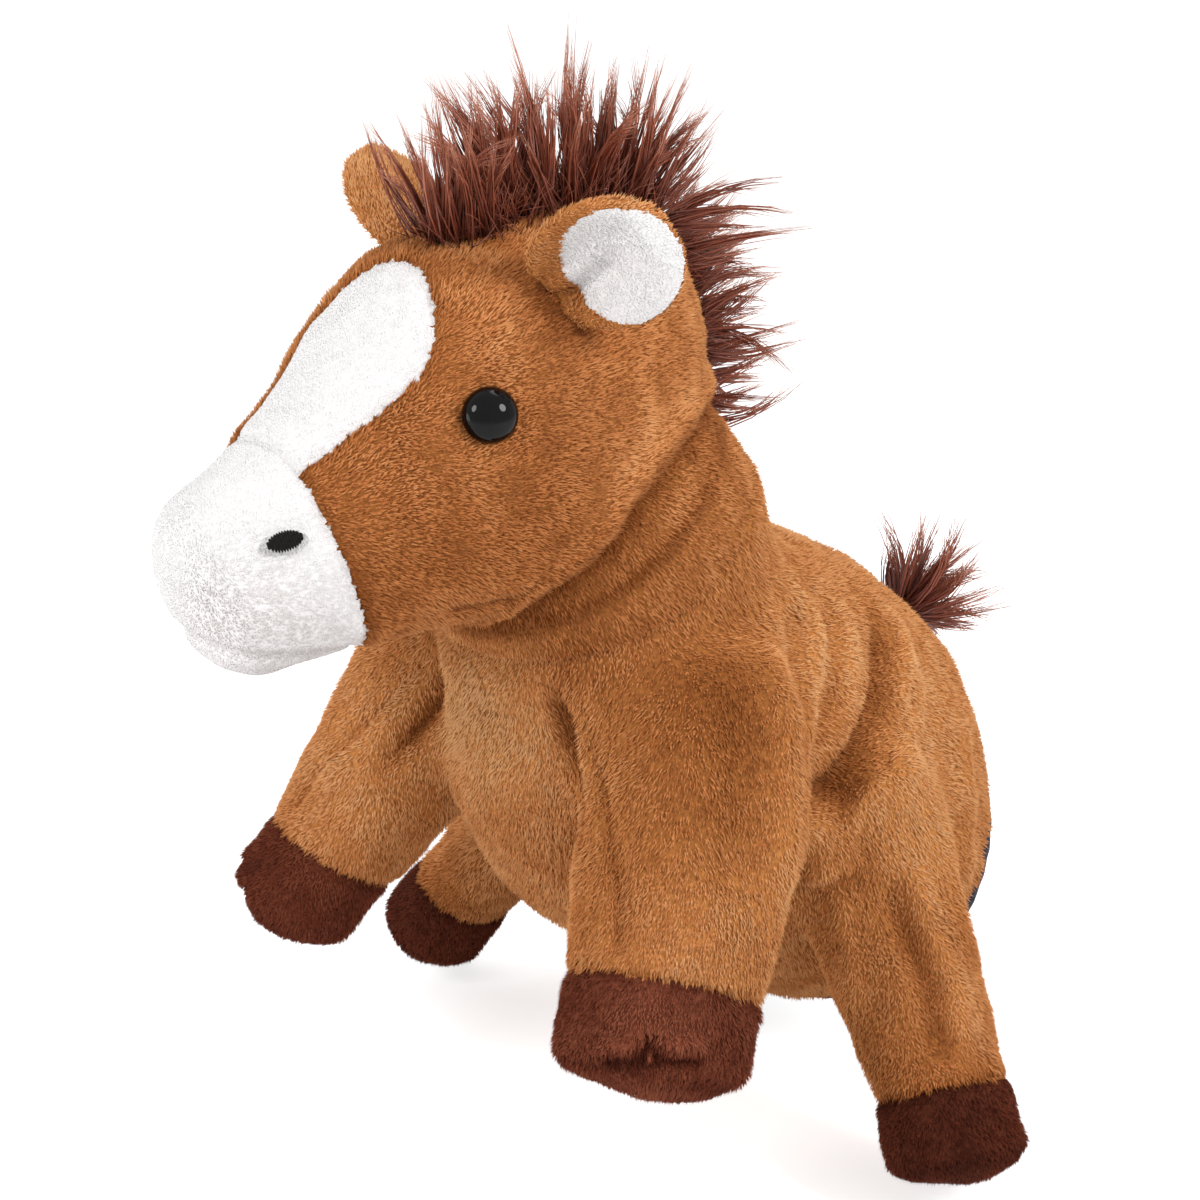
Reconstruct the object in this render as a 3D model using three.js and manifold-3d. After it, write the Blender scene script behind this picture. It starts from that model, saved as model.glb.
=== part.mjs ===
// Horse hand puppet: a plush glove with a stuffed head, two finger-sleeve front legs and two stuffed hind legs.
// Millimetres, +Z up. The horse faces -Y and its left side is +X. The origin is the centre of the hand opening.

import * as THREE from 'three';
import { mergeVertices } from 'three/addons/utils/BufferGeometryUtils.js';
import Module from 'manifold-3d';

const wasm = await Module();
wasm.setup();

// Cloth and clearances
const plushThickness = 3;
const liningThickness = 1.2;
const seamGap = 0.3;
const layerGap = 0.3;
const liningGap = 0.5;
const jointGap = 0.4;

// Glove body: station centres run from the hand opening up to the neck
const bodyStations = [
  [0, 0, 0, 44, 36, 49],
  [0, -22, 22, 51, 47, 64],
  [0, -43, 43.5, 52, 54.5, 66],
  [0, -63, 62, 50, 56, 60],
  [0, -78, 79, 46, 50.5, 49.5],
  [0, -88, 97, 40, 41, 43],
  [0, -94, 115, 37, 38, 39.5],
];
const cuffWidth = 6;
const cuffStandOff = 0.4;
const bellyWidth = 44;
const bellySeamInset = 8;

// Neck: a stuffed ball-shaped collar that the head and the body turn on
const neckPivot = [0, -94, 116];
const neckRadius = 40;
const neckLean = 45;
const neckLowLatitude = -50;
const neckHighLatitude = 38;
const collarThickness = 3;

// Head
const headTurn = -9.5;
const headStations = [
  [0, -69, 165, 1, 1, 1],
  [0, -72, 164, 15, 19, 19],
  [0, -81, 162, 27, 33, 30],
  [0, -96, 157, 35, 42, 38],
  [0, -117, 145, 40, 47, 47],
  [0, -138, 134, 37, 35, 43],
  [0, -158, 126, 30, 25, 34],
  [0, -176, 121, 27, 21, 25],
  [0, -190, 118, 23, 18, 20],
  [0, -196.5, 116.8, 14, 11.5, 12.5],
  [0, -199, 116.3, 1, 1, 1],
];
const headFullness = 2.1;
const muzzleLine = [0, -170.5, 127.9];
const muzzleLineTilt = 19;
const mouthLine = [0, -185, 107];
const mouthTilt = 8;
const jawWidth = 26;
const jawLine = [[-60, 120], [-120, 120], [-170, 118], [-230, 112]];
const blazeTop = [0, -133, 185];
const blazeTilt = 45.5;
const blazeOutline = [[0, 7], [7, 8], [14, 13], [20, 21], [22, 28], [18.5, 40], [16.5, 48], [14.5, 62], [14.5, 84]];
const blazeReach = 60;
const fingerPocketRadius = 12;
const fingerPocketDepth = 32;
const fingerPocketRise = 20;
const fingerPocketHem = 6;

// Eyes and nostrils, placed by their share of the head's length and their angle round it
const eyePlace = { along: 0.47, round: 332.5 };
const eyeDiameter = 12;
const eyeHeight = 4;
const eyeStemDiameter = 3.6;
const eyeStemLength = 12;
const washerDiameter = 14;
const washerThickness = 1.6;
const washerDrop = 4.7;
const washerBoreGap = 0.1;
const nostrilPlace = { along: 0.735, round: 325 };
const nostrilLength = 8.2;
const nostrilWidth = 4.8;
const nostrilThickness = 1.2;
const nostrilSlant = 90;

// Ears, with the way that they stand out and the way that the white side faces
const earPlace = { along: 0.335, round: 313 };
const earDirection = [0.78, 0.38, 0.5];
const earFacing = [0.62, -0.55, -0.55];
const earLength = 36;
const earWidth = 30;
const earThickness = 5;
const earCup = 6;
const earLayerGap = 0.3;
const earRootDepth = 3;
const earRange = [-20, 15];

// Mane and tail
const maneFrom = 0.37;
const maneTurn = 0.027;
const maneTo = 0.13;
const maneWidth = 12;
const maneSpikes = 18;
const maneLengthFront = 25;
const maneLengthTop = 32;
const maneLengthNape = 22;
const maneCrown = 0.3;
const maneNotch = 9;
const maneFan = 16;
const tailPlace = { along: 0.17, round: 270 };
const tailRootRadius = 6;
const tailLength = 27;
const tailLocks = 13;
const tailLockWidth = 5;
const tailSpread = 46;
const tailRise = -4;
const tailRootSink = 1.5;
const tailRange = [-25, 25];

// Front legs: sleeves for the thumb and the little finger
const frontLegStations = [
  [34, -90, 94, 1, 1, 1],
  [37, -92, 88, 16, 16, 16],
  [41, -96, 78, 24, 22, 22],
  [47, -107, 54, 25, 20, 22],
  [55, -123, 31, 23, 17, 18],
  [59.5, -131.5, 19, 21.5, 15, 16],
  [62, -136, 8.5, 19, 12, 13],
  [63, -137.5, 5, 1, 1, 1],
];
const frontLegSide = [0.6, 0.8, 0];
const shoulderPlace = { along: 0.7, round: 28 };
const shoulderRange = [-25, 20];
const armholeRadius = 14;
const hoofStuffingDepth = 9;

// Hind legs: stuffed, sewn on at the hips
const hindLegStations = [
  [38, -44, 54, 1, 1, 1],
  [42, -44, 48, 18, 18, 18],
  [50, -46, 32, 22, 16, 16],
  [65, -51, 10, 19, 14, 14],
  [80, -57, -9, 16, 13, 13],
  [91, -61.5, -24.5, 17, 14, 14],
  [94.5, -63, -30, 15, 12, 12],
  [96, -64, -33, 1, 1, 1],
];
const hindLegSide = [0.3, 1, 0];
const hipPlace = { along: 0.34, round: 12 };
const hipRange = [-18, 25];

const frontHoofDepth = 22;
const hindHoofDepth = 20;
const soleDepth = 4;

// Mesh fineness
const bodyAround = 20;
const bodyAlong = 9;
const headAround = 20;
const headAlong = 12;
const legAround = 12;
const legAlong = 7;
const neckAround = 20;
const neckBands = 4;
const eyeAround = 14;
const stemAround = 10;
const farAway = 400;

const degrees = Math.PI / 180;
const vector = (values) => new THREE.Vector3(...values);

// Closed meshes to solids for cutting, and back
function toSolid(geometry) {
  const bare = new THREE.BufferGeometry();
  bare.setAttribute('position', geometry.getAttribute('position').clone());
  if (geometry.index) bare.setIndex(geometry.index.clone());
  const merged = mergeVertices(bare, 1e-4);
  return new wasm.Manifold(new wasm.Mesh({
    numProp: 3,
    vertProperties: new Float32Array(merged.getAttribute('position').array),
    triVerts: new Uint32Array(merged.index.array),
  }));
}

function toGeometry(solid) {
  const mesh = solid.getMesh();
  const geometry = new THREE.BufferGeometry();
  geometry.setAttribute('position', new THREE.BufferAttribute(new Float32Array(mesh.vertProperties), 3));
  geometry.setIndex(new THREE.BufferAttribute(new Uint32Array(mesh.triVerts), 1));
  return geometry;
}

function mirrored(geometry) {
  const copy = geometry.clone();
  copy.scale(-1, 1, 1);
  const index = copy.index.array;
  for (let i = 0; i < index.length; i += 3) {
    [index[i + 1], index[i + 2]] = [index[i + 2], index[i + 1]];
  }
  return copy;
}

// A stuffed form: oval sections strung on a curve, with its front and back depths set apart
class StuffedForm {
  constructor(stations, side, { fullness = 2, closedStart = true, closedEnd = true } = {}) {
    this.path = new THREE.CatmullRomCurve3(stations.map((s) => vector(s.slice(0, 3))), false, 'catmullrom', 0.5);
    this.halves = new THREE.CatmullRomCurve3(stations.map((s) => vector(s.slice(3, 6))), false, 'catmullrom', 0.5);
    this.side = vector(side).normalize();
    this.fullness = fullness;
    this.closedStart = closedStart;
    this.closedEnd = closedEnd;
  }

  frame(t) {
    const step = 0.01;
    const ahead = this.path.getPoint(Math.min(1, t + step));
    const tangent = ahead.sub(this.path.getPoint(Math.max(0, t - step))).normalize();
    const side = this.side.clone().addScaledVector(tangent, -tangent.dot(this.side)).normalize();
    return { centre: this.path.getPoint(t), tangent, side, front: side.clone().cross(tangent) };
  }

  // The point at a share t of the length and an angle round it: 0 is the side, 90 the front, 270 the back
  point(t, angle, lift = 0, startShift = 0, endShift = 0) {
    const { centre, tangent, side, front } = this.frame(t);
    const half = this.halves.getPoint(t);
    const across = Math.cos(angle * degrees);
    const deep = Math.sin(angle * degrees);
    const swell = (value) => Math.sign(value) * Math.abs(value) ** (2 / this.fullness);
    const depth = deep > 0 ? half.y : half.z;
    const fade = 0.16;
    const leastRadius = 0.4;
    const shift = endShift * Math.max(0, 1 - (1 - t) / fade) - startShift * Math.max(0, 1 - t / fade);
    return centre
      .addScaledVector(side, swell(across) * Math.max(leastRadius, half.x + lift))
      .addScaledVector(front, swell(deep) * Math.max(leastRadius, depth + lift))
      .addScaledVector(tangent, shift);
  }

  // The outward direction of the skin at a point
  normal(t, angle) {
    const along = this.point(Math.min(1, t + 0.02), angle).sub(this.point(Math.max(0, t - 0.02), angle));
    const round = this.point(t, angle + 4).sub(this.point(t, angle - 4));
    return along.cross(round).normalize();
  }

  // The closed solid whose skin lies the given depth under the surface
  geometry(along, around, depth = 0, overrun = 1) {
    const startShift = this.closedStart ? -depth : overrun;
    const endShift = this.closedEnd ? -depth : overrun;
    const positions = [];
    for (let i = 0; i < along; i += 1) {
      for (let j = 0; j < around; j += 1) {
        const pole = (i === 0 && this.closedStart) || (i === along - 1 && this.closedEnd);
        if (pole) continue;
        const t = i / (along - 1);
        positions.push(...this.point(t, (360 * j) / around, -depth, startShift, endShift).toArray());
      }
    }
    const rings = positions.length / 3 / around;
    const endPoint = (t, shift) => {
      const { centre, tangent } = this.frame(t);
      return centre.addScaledVector(tangent, shift);
    };
    const first = positions.length / 3;
    positions.push(...endPoint(0, -startShift).toArray(), ...endPoint(1, endShift).toArray());
    const index = [];
    for (let j = 0; j < around; j += 1) {
      const next = (j + 1) % around;
      index.push(first, j, next);
      for (let i = 0; i < rings - 1; i += 1) {
        const a = i * around;
        const b = a + around;
        index.push(a + j, b + j, b + next, a + j, b + next, a + next);
      }
      const last = (rings - 1) * around;
      index.push(first + 1, last + next, last + j);
    }
    const geometry = new THREE.BufferGeometry();
    geometry.setAttribute('position', new THREE.Float32BufferAttribute(positions, 3));
    geometry.setIndex(index);
    return geometry;
  }

  solid(along, around, depth = 0, overrun = 1) {
    return toSolid(this.geometry(along, around, depth, overrun));
  }
}

// Cutting shapes
function turnTo(direction, from = new THREE.Vector3(0, 0, 1)) {
  return new THREE.Quaternion().setFromUnitVectors(from, direction.clone().normalize());
}

function halfSpace(point, normal) {
  const box = new THREE.BoxGeometry(farAway, farAway, farAway);
  box.translate(0, 0, farAway / 2);
  box.applyQuaternion(turnTo(normal));
  box.translate(point.x, point.y, point.z);
  return toSolid(box);
}

function ball(centre, radius, around = 32) {
  const bands = Math.round(0.6 * around);
  const sphere = new THREE.SphereGeometry(radius, around, bands);
  sphere.translate(centre.x, centre.y, centre.z);
  return toSolid(sphere);
}

// A round bar from a point along a direction
function bar(point, direction, radius, length, sides = 14) {
  const cylinder = new THREE.CylinderGeometry(radius, radius, length, sides);
  cylinder.translate(0, length / 2, 0);
  cylinder.applyQuaternion(turnTo(direction, new THREE.Vector3(0, 1, 0)));
  cylinder.translate(point.x, point.y, point.z);
  return toSolid(cylinder);
}

// A slab across the body, from a side-view outline of [y, z] points
function slab(outline, width) {
  const shape = new THREE.Shape(outline.map(([y, z]) => new THREE.Vector2(y, z)));
  const geometry = new THREE.ExtrudeGeometry(shape, { depth: width, bevelEnabled: false });
  geometry.translate(0, 0, -width / 2);
  const toSideView = new THREE.Matrix4().makeBasis(
    new THREE.Vector3(0, 1, 0), new THREE.Vector3(0, 0, 1), new THREE.Vector3(1, 0, 0),
  );
  geometry.applyMatrix4(toSideView);
  return toSolid(geometry);
}

// What a limb must lose so that it can swing about its joint without meeting the body
function sweptAway(limb, keepOut, joint) {
  const [low, high] = joint.range;
  let rest = limb;
  for (const swing of [low, low / 2, 0, high / 2, high]) {
    const angle = swing * degrees;
    const turned = keepOut.clone();
    turned.translate(-joint.pivot.x, -joint.pivot.y, -joint.pivot.z);
    turned.applyQuaternion(new THREE.Quaternion().setFromAxisAngle(joint.axis, -angle));
    turned.translate(joint.pivot.x, joint.pivot.y, joint.pivot.z);
    rest = rest.subtract(toSolid(turned));
  }
  return rest;
}

// Materials
function cloth(color, roughness = 0.95) {
  return () => new THREE.MeshStandardMaterial({ color, roughness, metalness: 0 });
}
const tanPlush = cloth(0xc08048);
const whitePlush = cloth(0xf1eeec);
const hoofPlush = cloth(0x6a443d);
const liningCloth = cloth(0x20222f, 0.8);
const cuffCloth = cloth(0x1a1c2a, 0.85);
const stuffingFibre = cloth(0xf4f2ea);
const maneHair = cloth(0x7a4a3e, 0.7);
const blackPlastic = cloth(0x0c0a0a, 0.12);
const washerPlastic = cloth(0xe8e8e4, 0.4);
const nostrilThread = cloth(0x1c1512, 0.6);

const puppet = new THREE.Group();

function addPiece(parent, name, geometry, material, origin = new THREE.Vector3()) {
  const placed = geometry.clone();
  placed.translate(-origin.x, -origin.y, -origin.z);
  placed.computeVertexNormals();
  const mesh = new THREE.Mesh(placed, material());
  mesh.name = name;
  parent.add(mesh);
}

// Glove body
const bodyForm = new StuffedForm(bodyStations, [1, 0, 0], { closedStart: false, closedEnd: false });
const neckCentre = vector(neckPivot);
const mouth = bodyForm.frame(0);
const neckRoom = ball(neckCentre, neckRadius + jointGap);
const liningDepth = plushThickness + liningGap;

function shoulderOf(place, range) {
  const pivot = bodyForm.point(place.along, place.round);
  return { pivot, axis: bodyForm.normal(place.along, place.round), range };
}
const shoulder = shoulderOf(shoulderPlace, shoulderRange);
const hip = shoulderOf(hipPlace, hipRange);

function armhole(side) {
  const inward = shoulder.axis.clone().multiplyScalar(-1);
  const start = shoulder.pivot.clone().addScaledVector(shoulder.axis, armholeRadius);
  const mirror = new THREE.Vector3(side, 1, 1);
  return bar(start.multiply(mirror), inward.multiply(mirror), armholeRadius, 3 * armholeRadius);
}
const armholes = armhole(1).add(armhole(-1));

// One cloth layer of the glove, open at both ends: layers that lie on each other share the run past the ends
function bodyShell(outerDepth, innerDepth, overrun) {
  const outer = bodyForm.solid(bodyAlong, bodyAround, outerDepth, overrun);
  const inner = bodyForm.solid(bodyAlong, bodyAround, innerDepth, overrun + 1);
  return outer.subtract(inner).subtract(neckRoom).subtract(armholes);
}

// The belly panel's region in side view, from in front of the body's centre line to well past its front
function bellyOutline(inset) {
  const pastEnds = 30;
  const pastFront = 90;
  const inner = [];
  const outer = [];
  for (const t of [0, 0.25, 0.5, 0.75, 1]) {
    const { centre, front, tangent } = bodyForm.frame(t);
    const overrun = (t === 0 ? -pastEnds : 0) + (t === 1 ? pastEnds : 0);
    const near = centre.clone().addScaledVector(front, inset).addScaledVector(tangent, overrun);
    const far = near.clone().addScaledVector(front, pastFront);
    inner.push([near.y, near.z]);
    outer.unshift([far.y, far.z]);
  }
  return [...inner, ...outer];
}

function buildBody() {
  const cuffLine = mouth.centre.clone().addScaledVector(mouth.tangent, cuffWidth);
  const aboveCuff = halfSpace(cuffLine.clone().addScaledVector(mouth.tangent, seamGap), mouth.tangent);
  const belowCuff = halfSpace(cuffLine, mouth.tangent.clone().multiplyScalar(-1));
  const plush = bodyShell(0, plushThickness, 0).intersect(aboveCuff);
  const belly = slab(bellyOutline(bellySeamInset), bellyWidth);
  const bellyRoom = slab(bellyOutline(bellySeamInset - seamGap), bellyWidth + 2 * seamGap);
  const sides = plush.subtract(bellyRoom);
  const leftHalf = halfSpace(new THREE.Vector3(seamGap / 2, 0, 0), new THREE.Vector3(1, 0, 0));
  const leftPanel = toGeometry(sides.intersect(leftHalf));
  addPiece(puppet, 'side_panel_left', leftPanel, tanPlush);
  addPiece(puppet, 'side_panel_right', mirrored(leftPanel), tanPlush);
  addPiece(puppet, 'belly_panel', toGeometry(plush.intersect(belly)), tanPlush);

  const lining = bodyShell(liningDepth, liningDepth + liningThickness, 1);
  addPiece(puppet, 'glove_lining', toGeometry(lining.intersect(aboveCuff)), liningCloth);

  const cuffOuter = bodyForm.solid(bodyAlong, bodyAround, -cuffStandOff, 0);
  const cuffInner = bodyForm.solid(bodyAlong, bodyAround, liningDepth + liningThickness);
  addPiece(puppet, 'cuff_binding', toGeometry(cuffOuter.subtract(cuffInner).intersect(belowCuff)), cuffCloth);
}

// Neck collar and its lining: zones of a ball about the leaning neck
function neckZone(outerRadius, thickness) {
  const arc = (radius, i) => {
    const latitude = THREE.MathUtils.lerp(neckLowLatitude, neckHighLatitude, i / neckBands) * degrees;
    return new THREE.Vector2(radius * Math.cos(latitude), radius * Math.sin(latitude));
  };
  const profile = [];
  for (let i = 0; i <= neckBands; i += 1) profile.push(arc(outerRadius, i));
  for (let i = neckBands; i >= 0; i -= 1) profile.push(arc(outerRadius - thickness, i));
  profile.push(profile[0].clone());
  const zone = new THREE.LatheGeometry(profile, neckAround);
  const lean = new THREE.Vector3(0, -Math.sin(neckLean * degrees), Math.cos(neckLean * degrees));
  zone.applyQuaternion(turnTo(lean, new THREE.Vector3(0, 1, 0)));
  zone.translate(neckCentre.x, neckCentre.y, neckCentre.z);
  return toGeometry(toSolid(zone));
}

function buildNeck() {
  addPiece(puppet, 'neck_collar', neckZone(neckRadius, collarThickness), tanPlush);
  const lined = neckRadius - collarThickness - layerGap;
  addPiece(puppet, 'neck_lining', neckZone(lined, liningThickness), liningCloth);
}

// Head, built facing straight ahead and then turned on the neck
const headForm = new StuffedForm(headStations, [1, 0, 0], { fullness: headFullness });
const headGroup = new THREE.Group();
headGroup.position.copy(neckCentre);
headGroup.rotation.z = headTurn * degrees;
puppet.add(headGroup);

function addToHead(name, geometry, material) {
  addPiece(headGroup, name, geometry, material, neckCentre);
}

function addPairToHead(name, geometry, material) {
  addToHead(`${name}_left`, geometry, material);
  addToHead(`${name}_right`, mirrored(geometry), material);
}

const pocketRise = fingerPocketRise * degrees;
const pocketAxis = new THREE.Vector3(0, -Math.cos(pocketRise), Math.sin(pocketRise));
const pocketMouth = neckCentre.clone().addScaledVector(pocketAxis, neckRadius - fingerPocketHem);
const pocketLength = fingerPocketHem + fingerPocketDepth;

function eyeSeat() {
  const point = headForm.point(eyePlace.along, eyePlace.round);
  return { point, normal: headForm.normal(eyePlace.along, eyePlace.round) };
}

function seated(geometry, seat, lift, roll = 0) {
  geometry.rotateY(roll);
  geometry.applyQuaternion(turnTo(seat.normal, new THREE.Vector3(0, 1, 0)));
  const place = seat.point.clone().addScaledVector(seat.normal, lift);
  geometry.translate(place.x, place.y, place.z);
  return geometry;
}

function blazeShape(grow) {
  const outline = blazeOutline.map(([x, s]) => [x + grow, s]);
  const right = [...outline].reverse().map(([x, s]) => new THREE.Vector2(-x, s));
  const left = outline.map(([x, s]) => new THREE.Vector2(x, s));
  left[0].y -= grow;
  right[right.length - 1].y -= grow;
  const shape = new THREE.Shape([...left, ...right]);
  const geometry = new THREE.ExtrudeGeometry(shape, { depth: blazeReach, bevelEnabled: false });
  geometry.translate(0, 0, -blazeReach / 2);
  const tilt = blazeTilt * degrees;
  const down = new THREE.Vector3(0, -Math.cos(tilt), -Math.sin(tilt));
  const across = new THREE.Vector3(1, 0, 0);
  geometry.applyMatrix4(new THREE.Matrix4().makeBasis(across, down, across.clone().cross(down)));
  geometry.translate(...blazeTop);
  return toSolid(geometry);
}

function buildHead() {
  const outer = headForm.solid(headAlong, headAround, 0);
  const inner = headForm.solid(headAlong, headAround, plushThickness);
  const shell = outer.subtract(inner).subtract(neckRoom);

  const muzzleTilt = muzzleLineTilt * degrees;
  const forward = new THREE.Vector3(0, -Math.cos(muzzleTilt), -Math.sin(muzzleTilt));
  const muzzleStart = vector(muzzleLine);
  const muzzleSide = halfSpace(muzzleStart, forward);
  const behindMuzzle = halfSpace(
    muzzleStart.clone().addScaledVector(forward, -seamGap), forward.clone().multiplyScalar(-1),
  );
  const down = new THREE.Vector3(0, -Math.sin(mouthTilt * degrees), -Math.cos(mouthTilt * degrees));
  const mouthPoint = vector(mouthLine);
  const belowMouth = halfSpace(mouthPoint.clone().addScaledVector(down, seamGap), down);
  const aboveMouth = halfSpace(mouthPoint, down.clone().multiplyScalar(-1));
  const muzzle = shell.intersect(muzzleSide);
  addToHead('muzzle_upper', toGeometry(muzzle.intersect(aboveMouth)), whitePlush);
  addToHead('chin', toGeometry(muzzle.intersect(belowMouth)), whitePlush);

  const seat = eyeSeat();
  const inward = seat.normal.clone().multiplyScalar(-1);
  const stemHole = bar(
    seat.point.clone().addScaledVector(seat.normal, plushThickness), inward,
    eyeStemDiameter / 2 + layerGap, 3 * plushThickness, stemAround,
  );
  const face = shell.intersect(behindMuzzle);
  const blazeStrip = face.intersect(blazeShape(0));
  addToHead('blaze', toGeometry(blazeStrip), whitePlush);
  const jawRegion = (gap) => {
    const top = jawLine.map(([y, z]) => [y, z + gap]);
    return slab([...top, [jawLine.at(-1)[0], 0], [jawLine[0][0], 0]], jawWidth + 2 * gap);
  };
  const jaw = face.intersect(jawRegion(0));
  addToHead('jaw_gusset', toGeometry(jaw), tanPlush);
  const leftHalf = halfSpace(new THREE.Vector3(seamGap / 2, 0, 0), new THREE.Vector3(1, 0, 0));
  const side = face.subtract(blazeShape(seamGap)).subtract(jawRegion(seamGap)).intersect(leftHalf).subtract(stemHole);
  addPairToHead('face', toGeometry(side), tanPlush);

  const washerRoom = bar(
    seat.point, inward, washerDiameter / 2 + layerGap, washerDrop + washerThickness + layerGap, eyeAround,
  );
  const stemRoom = bar(seat.point, inward, eyeStemDiameter / 2 + layerGap, eyeStemLength + layerGap, stemAround);
  const eyeRoomLeft = washerRoom.add(stemRoom);
  const eyeRoomRight = toSolid(mirrored(toGeometry(eyeRoomLeft)));
  const pocketRoom = bar(pocketMouth, pocketAxis, fingerPocketRadius + layerGap, pocketLength + layerGap);
  const stuffing = headForm.solid(headAlong, headAround, liningDepth)
    .subtract(neckRoom).subtract(pocketRoom).subtract(eyeRoomLeft).subtract(eyeRoomRight);
  addToHead('head_stuffing', toGeometry(stuffing), stuffingFibre);

  const pocketOuter = bar(pocketMouth, pocketAxis, fingerPocketRadius, pocketLength);
  const pocketInner = bar(
    pocketMouth.clone().addScaledVector(pocketAxis, -fingerPocketHem), pocketAxis,
    fingerPocketRadius - liningThickness, fingerPocketHem + pocketLength - liningThickness,
  );
  const pocket = pocketOuter.subtract(pocketInner).subtract(neckRoom);
  addToHead('finger_pocket', toGeometry(pocket), liningCloth);
}

// Safety eyes: a dome with a stem through the face, held by a washer inside
function buildEyes() {
  const seat = eyeSeat();
  const radius = eyeDiameter / 2;
  const stem = eyeStemDiameter / 2;
  const profile = [new THREE.Vector2(0, -eyeStemLength), new THREE.Vector2(stem, -eyeStemLength)];
  profile.push(new THREE.Vector2(stem, 0), new THREE.Vector2(radius, 0));
  for (const share of [0.25, 0.5, 0.75]) {
    const angle = share * 90 * degrees;
    profile.push(new THREE.Vector2(radius * Math.cos(angle), eyeHeight * Math.sin(angle)));
  }
  profile.push(new THREE.Vector2(0, eyeHeight));
  const eye = seated(new THREE.LatheGeometry(profile, eyeAround), seat, layerGap);
  addPairToHead('eye', toGeometry(toSolid(eye)), blackPlastic);

  const bore = stem + washerBoreGap;
  const rim = washerDiameter / 2;
  const ring = [
    new THREE.Vector2(bore, -washerThickness), new THREE.Vector2(rim, -washerThickness),
    new THREE.Vector2(rim, 0), new THREE.Vector2(bore, 0), new THREE.Vector2(bore, -washerThickness),
  ];
  const washer = seated(new THREE.LatheGeometry(ring, eyeAround), seat, -washerDrop);
  addPairToHead('eye_washer', toGeometry(toSolid(washer)), washerPlastic);

  const nostrilSeat = {
    point: headForm.point(nostrilPlace.along, nostrilPlace.round),
    normal: headForm.normal(nostrilPlace.along, nostrilPlace.round),
  };
  const pad = new THREE.LatheGeometry([
    new THREE.Vector2(0, 0), new THREE.Vector2(0.92, 0), new THREE.Vector2(1, 0.4),
    new THREE.Vector2(0.7, 0.9), new THREE.Vector2(0, 1),
  ], 16);
  pad.scale(nostrilLength / 2, nostrilThickness, nostrilWidth / 2);
  const nostril = seated(pad, nostrilSeat, layerGap, nostrilSlant * degrees);
  addPairToHead('nostril', toGeometry(toSolid(nostril)), nostrilThread);
}

// Ears: a cupped leaf in two layers, sewn to the head along its thin root edge
function earLayer(root, outward, facing, across, from, to) {
  const steps = 6;
  const position = (u, v, depth) => {
    const width = (earWidth / 2) * Math.sqrt(Math.max(0, 1 - ((u - 0.45) / 0.62) ** 2)) * (0.82 + 0.18 * u);
    const bow = earCup * (Math.sin(Math.PI * Math.min(1, u + 0.12)) * (1 - v * v) - 0.4 * u);
    const plump = Math.sqrt(Math.max(0.02, Math.sin(Math.PI * (0.04 + 0.92 * u)))) * Math.sqrt(1.02 - v * v);
    return root.clone().addScaledVector(outward, u * earLength)
      .addScaledVector(across, v * width).addScaledVector(facing, depth * plump - bow);
  };
  const points = [];
  for (const depth of [to, from]) {
    for (let i = 0; i <= steps; i += 1) {
      for (let j = 0; j <= steps; j += 1) {
        points.push(...position(i / steps, (2 * j) / steps - 1, depth).toArray());
      }
    }
  }
  const row = steps + 1;
  const sheet = row * row;
  const index = [];
  for (let i = 0; i < steps; i += 1) {
    for (let j = 0; j < steps; j += 1) {
      const a = i * row + j;
      index.push(a, a + row, a + row + 1, a, a + row + 1, a + 1);
      index.push(a + sheet, a + sheet + row + 1, a + sheet + row, a + sheet, a + sheet + 1, a + sheet + row + 1);
    }
    for (const [a, b] of [[i, i + 1], [steps * row + i + 1, steps * row + i]]) {
      index.push(a, b, b + sheet, a, b + sheet, a + sheet);
    }
    for (const [a, b] of [[(i + 1) * row, i * row], [i * row + steps, (i + 1) * row + steps]]) {
      index.push(a, b, b + sheet, a, b + sheet, a + sheet);
    }
  }
  const geometry = new THREE.BufferGeometry();
  geometry.setAttribute('position', new THREE.Float32BufferAttribute(points, 3));
  geometry.setIndex(index);
  return geometry;
}

function buildEars() {
  const outward = vector(earDirection).normalize();
  const facing = vector(earFacing);
  facing.addScaledVector(outward, -outward.dot(facing)).normalize();
  const across = facing.clone().cross(outward);
  const flop = { pivot: headForm.point(earPlace.along, earPlace.round), axis: across, range: earRange };
  const root = flop.pivot.clone().addScaledVector(outward, -earRootDepth);
  const headKeepOut = headForm.geometry(headAlong, headAround, -jointGap);
  const layer = (from, to) => {
    const sheet = earLayer(root, outward, facing, across, from, to);
    return toGeometry(sweptAway(toSolid(sheet), headKeepOut, flop));
  };
  addPairToHead('ear_inner', layer(earLayerGap / 2, earThickness / 2), whitePlush);
  addPairToHead('ear_back', layer(-earThickness / 2, -earLayerGap / 2), tanPlush);
}

// Mane: a crest of spiky locks from the forehead over the crown to the nape
function manePath() {
  const lift = -0.6;
  const crest = 7;
  const nape = 2;
  const points = [];
  for (let i = 0; i < crest; i += 1) {
    points.push(headForm.point(maneFrom + ((maneTurn - maneFrom) * i) / (crest - 1), 270, lift));
  }
  for (let i = 1; i <= nape; i += 1) {
    points.push(headForm.point(maneTurn + ((maneTo - maneTurn) * i) / nape, 90, lift));
  }
  return new THREE.CatmullRomCurve3(points);
}

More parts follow.
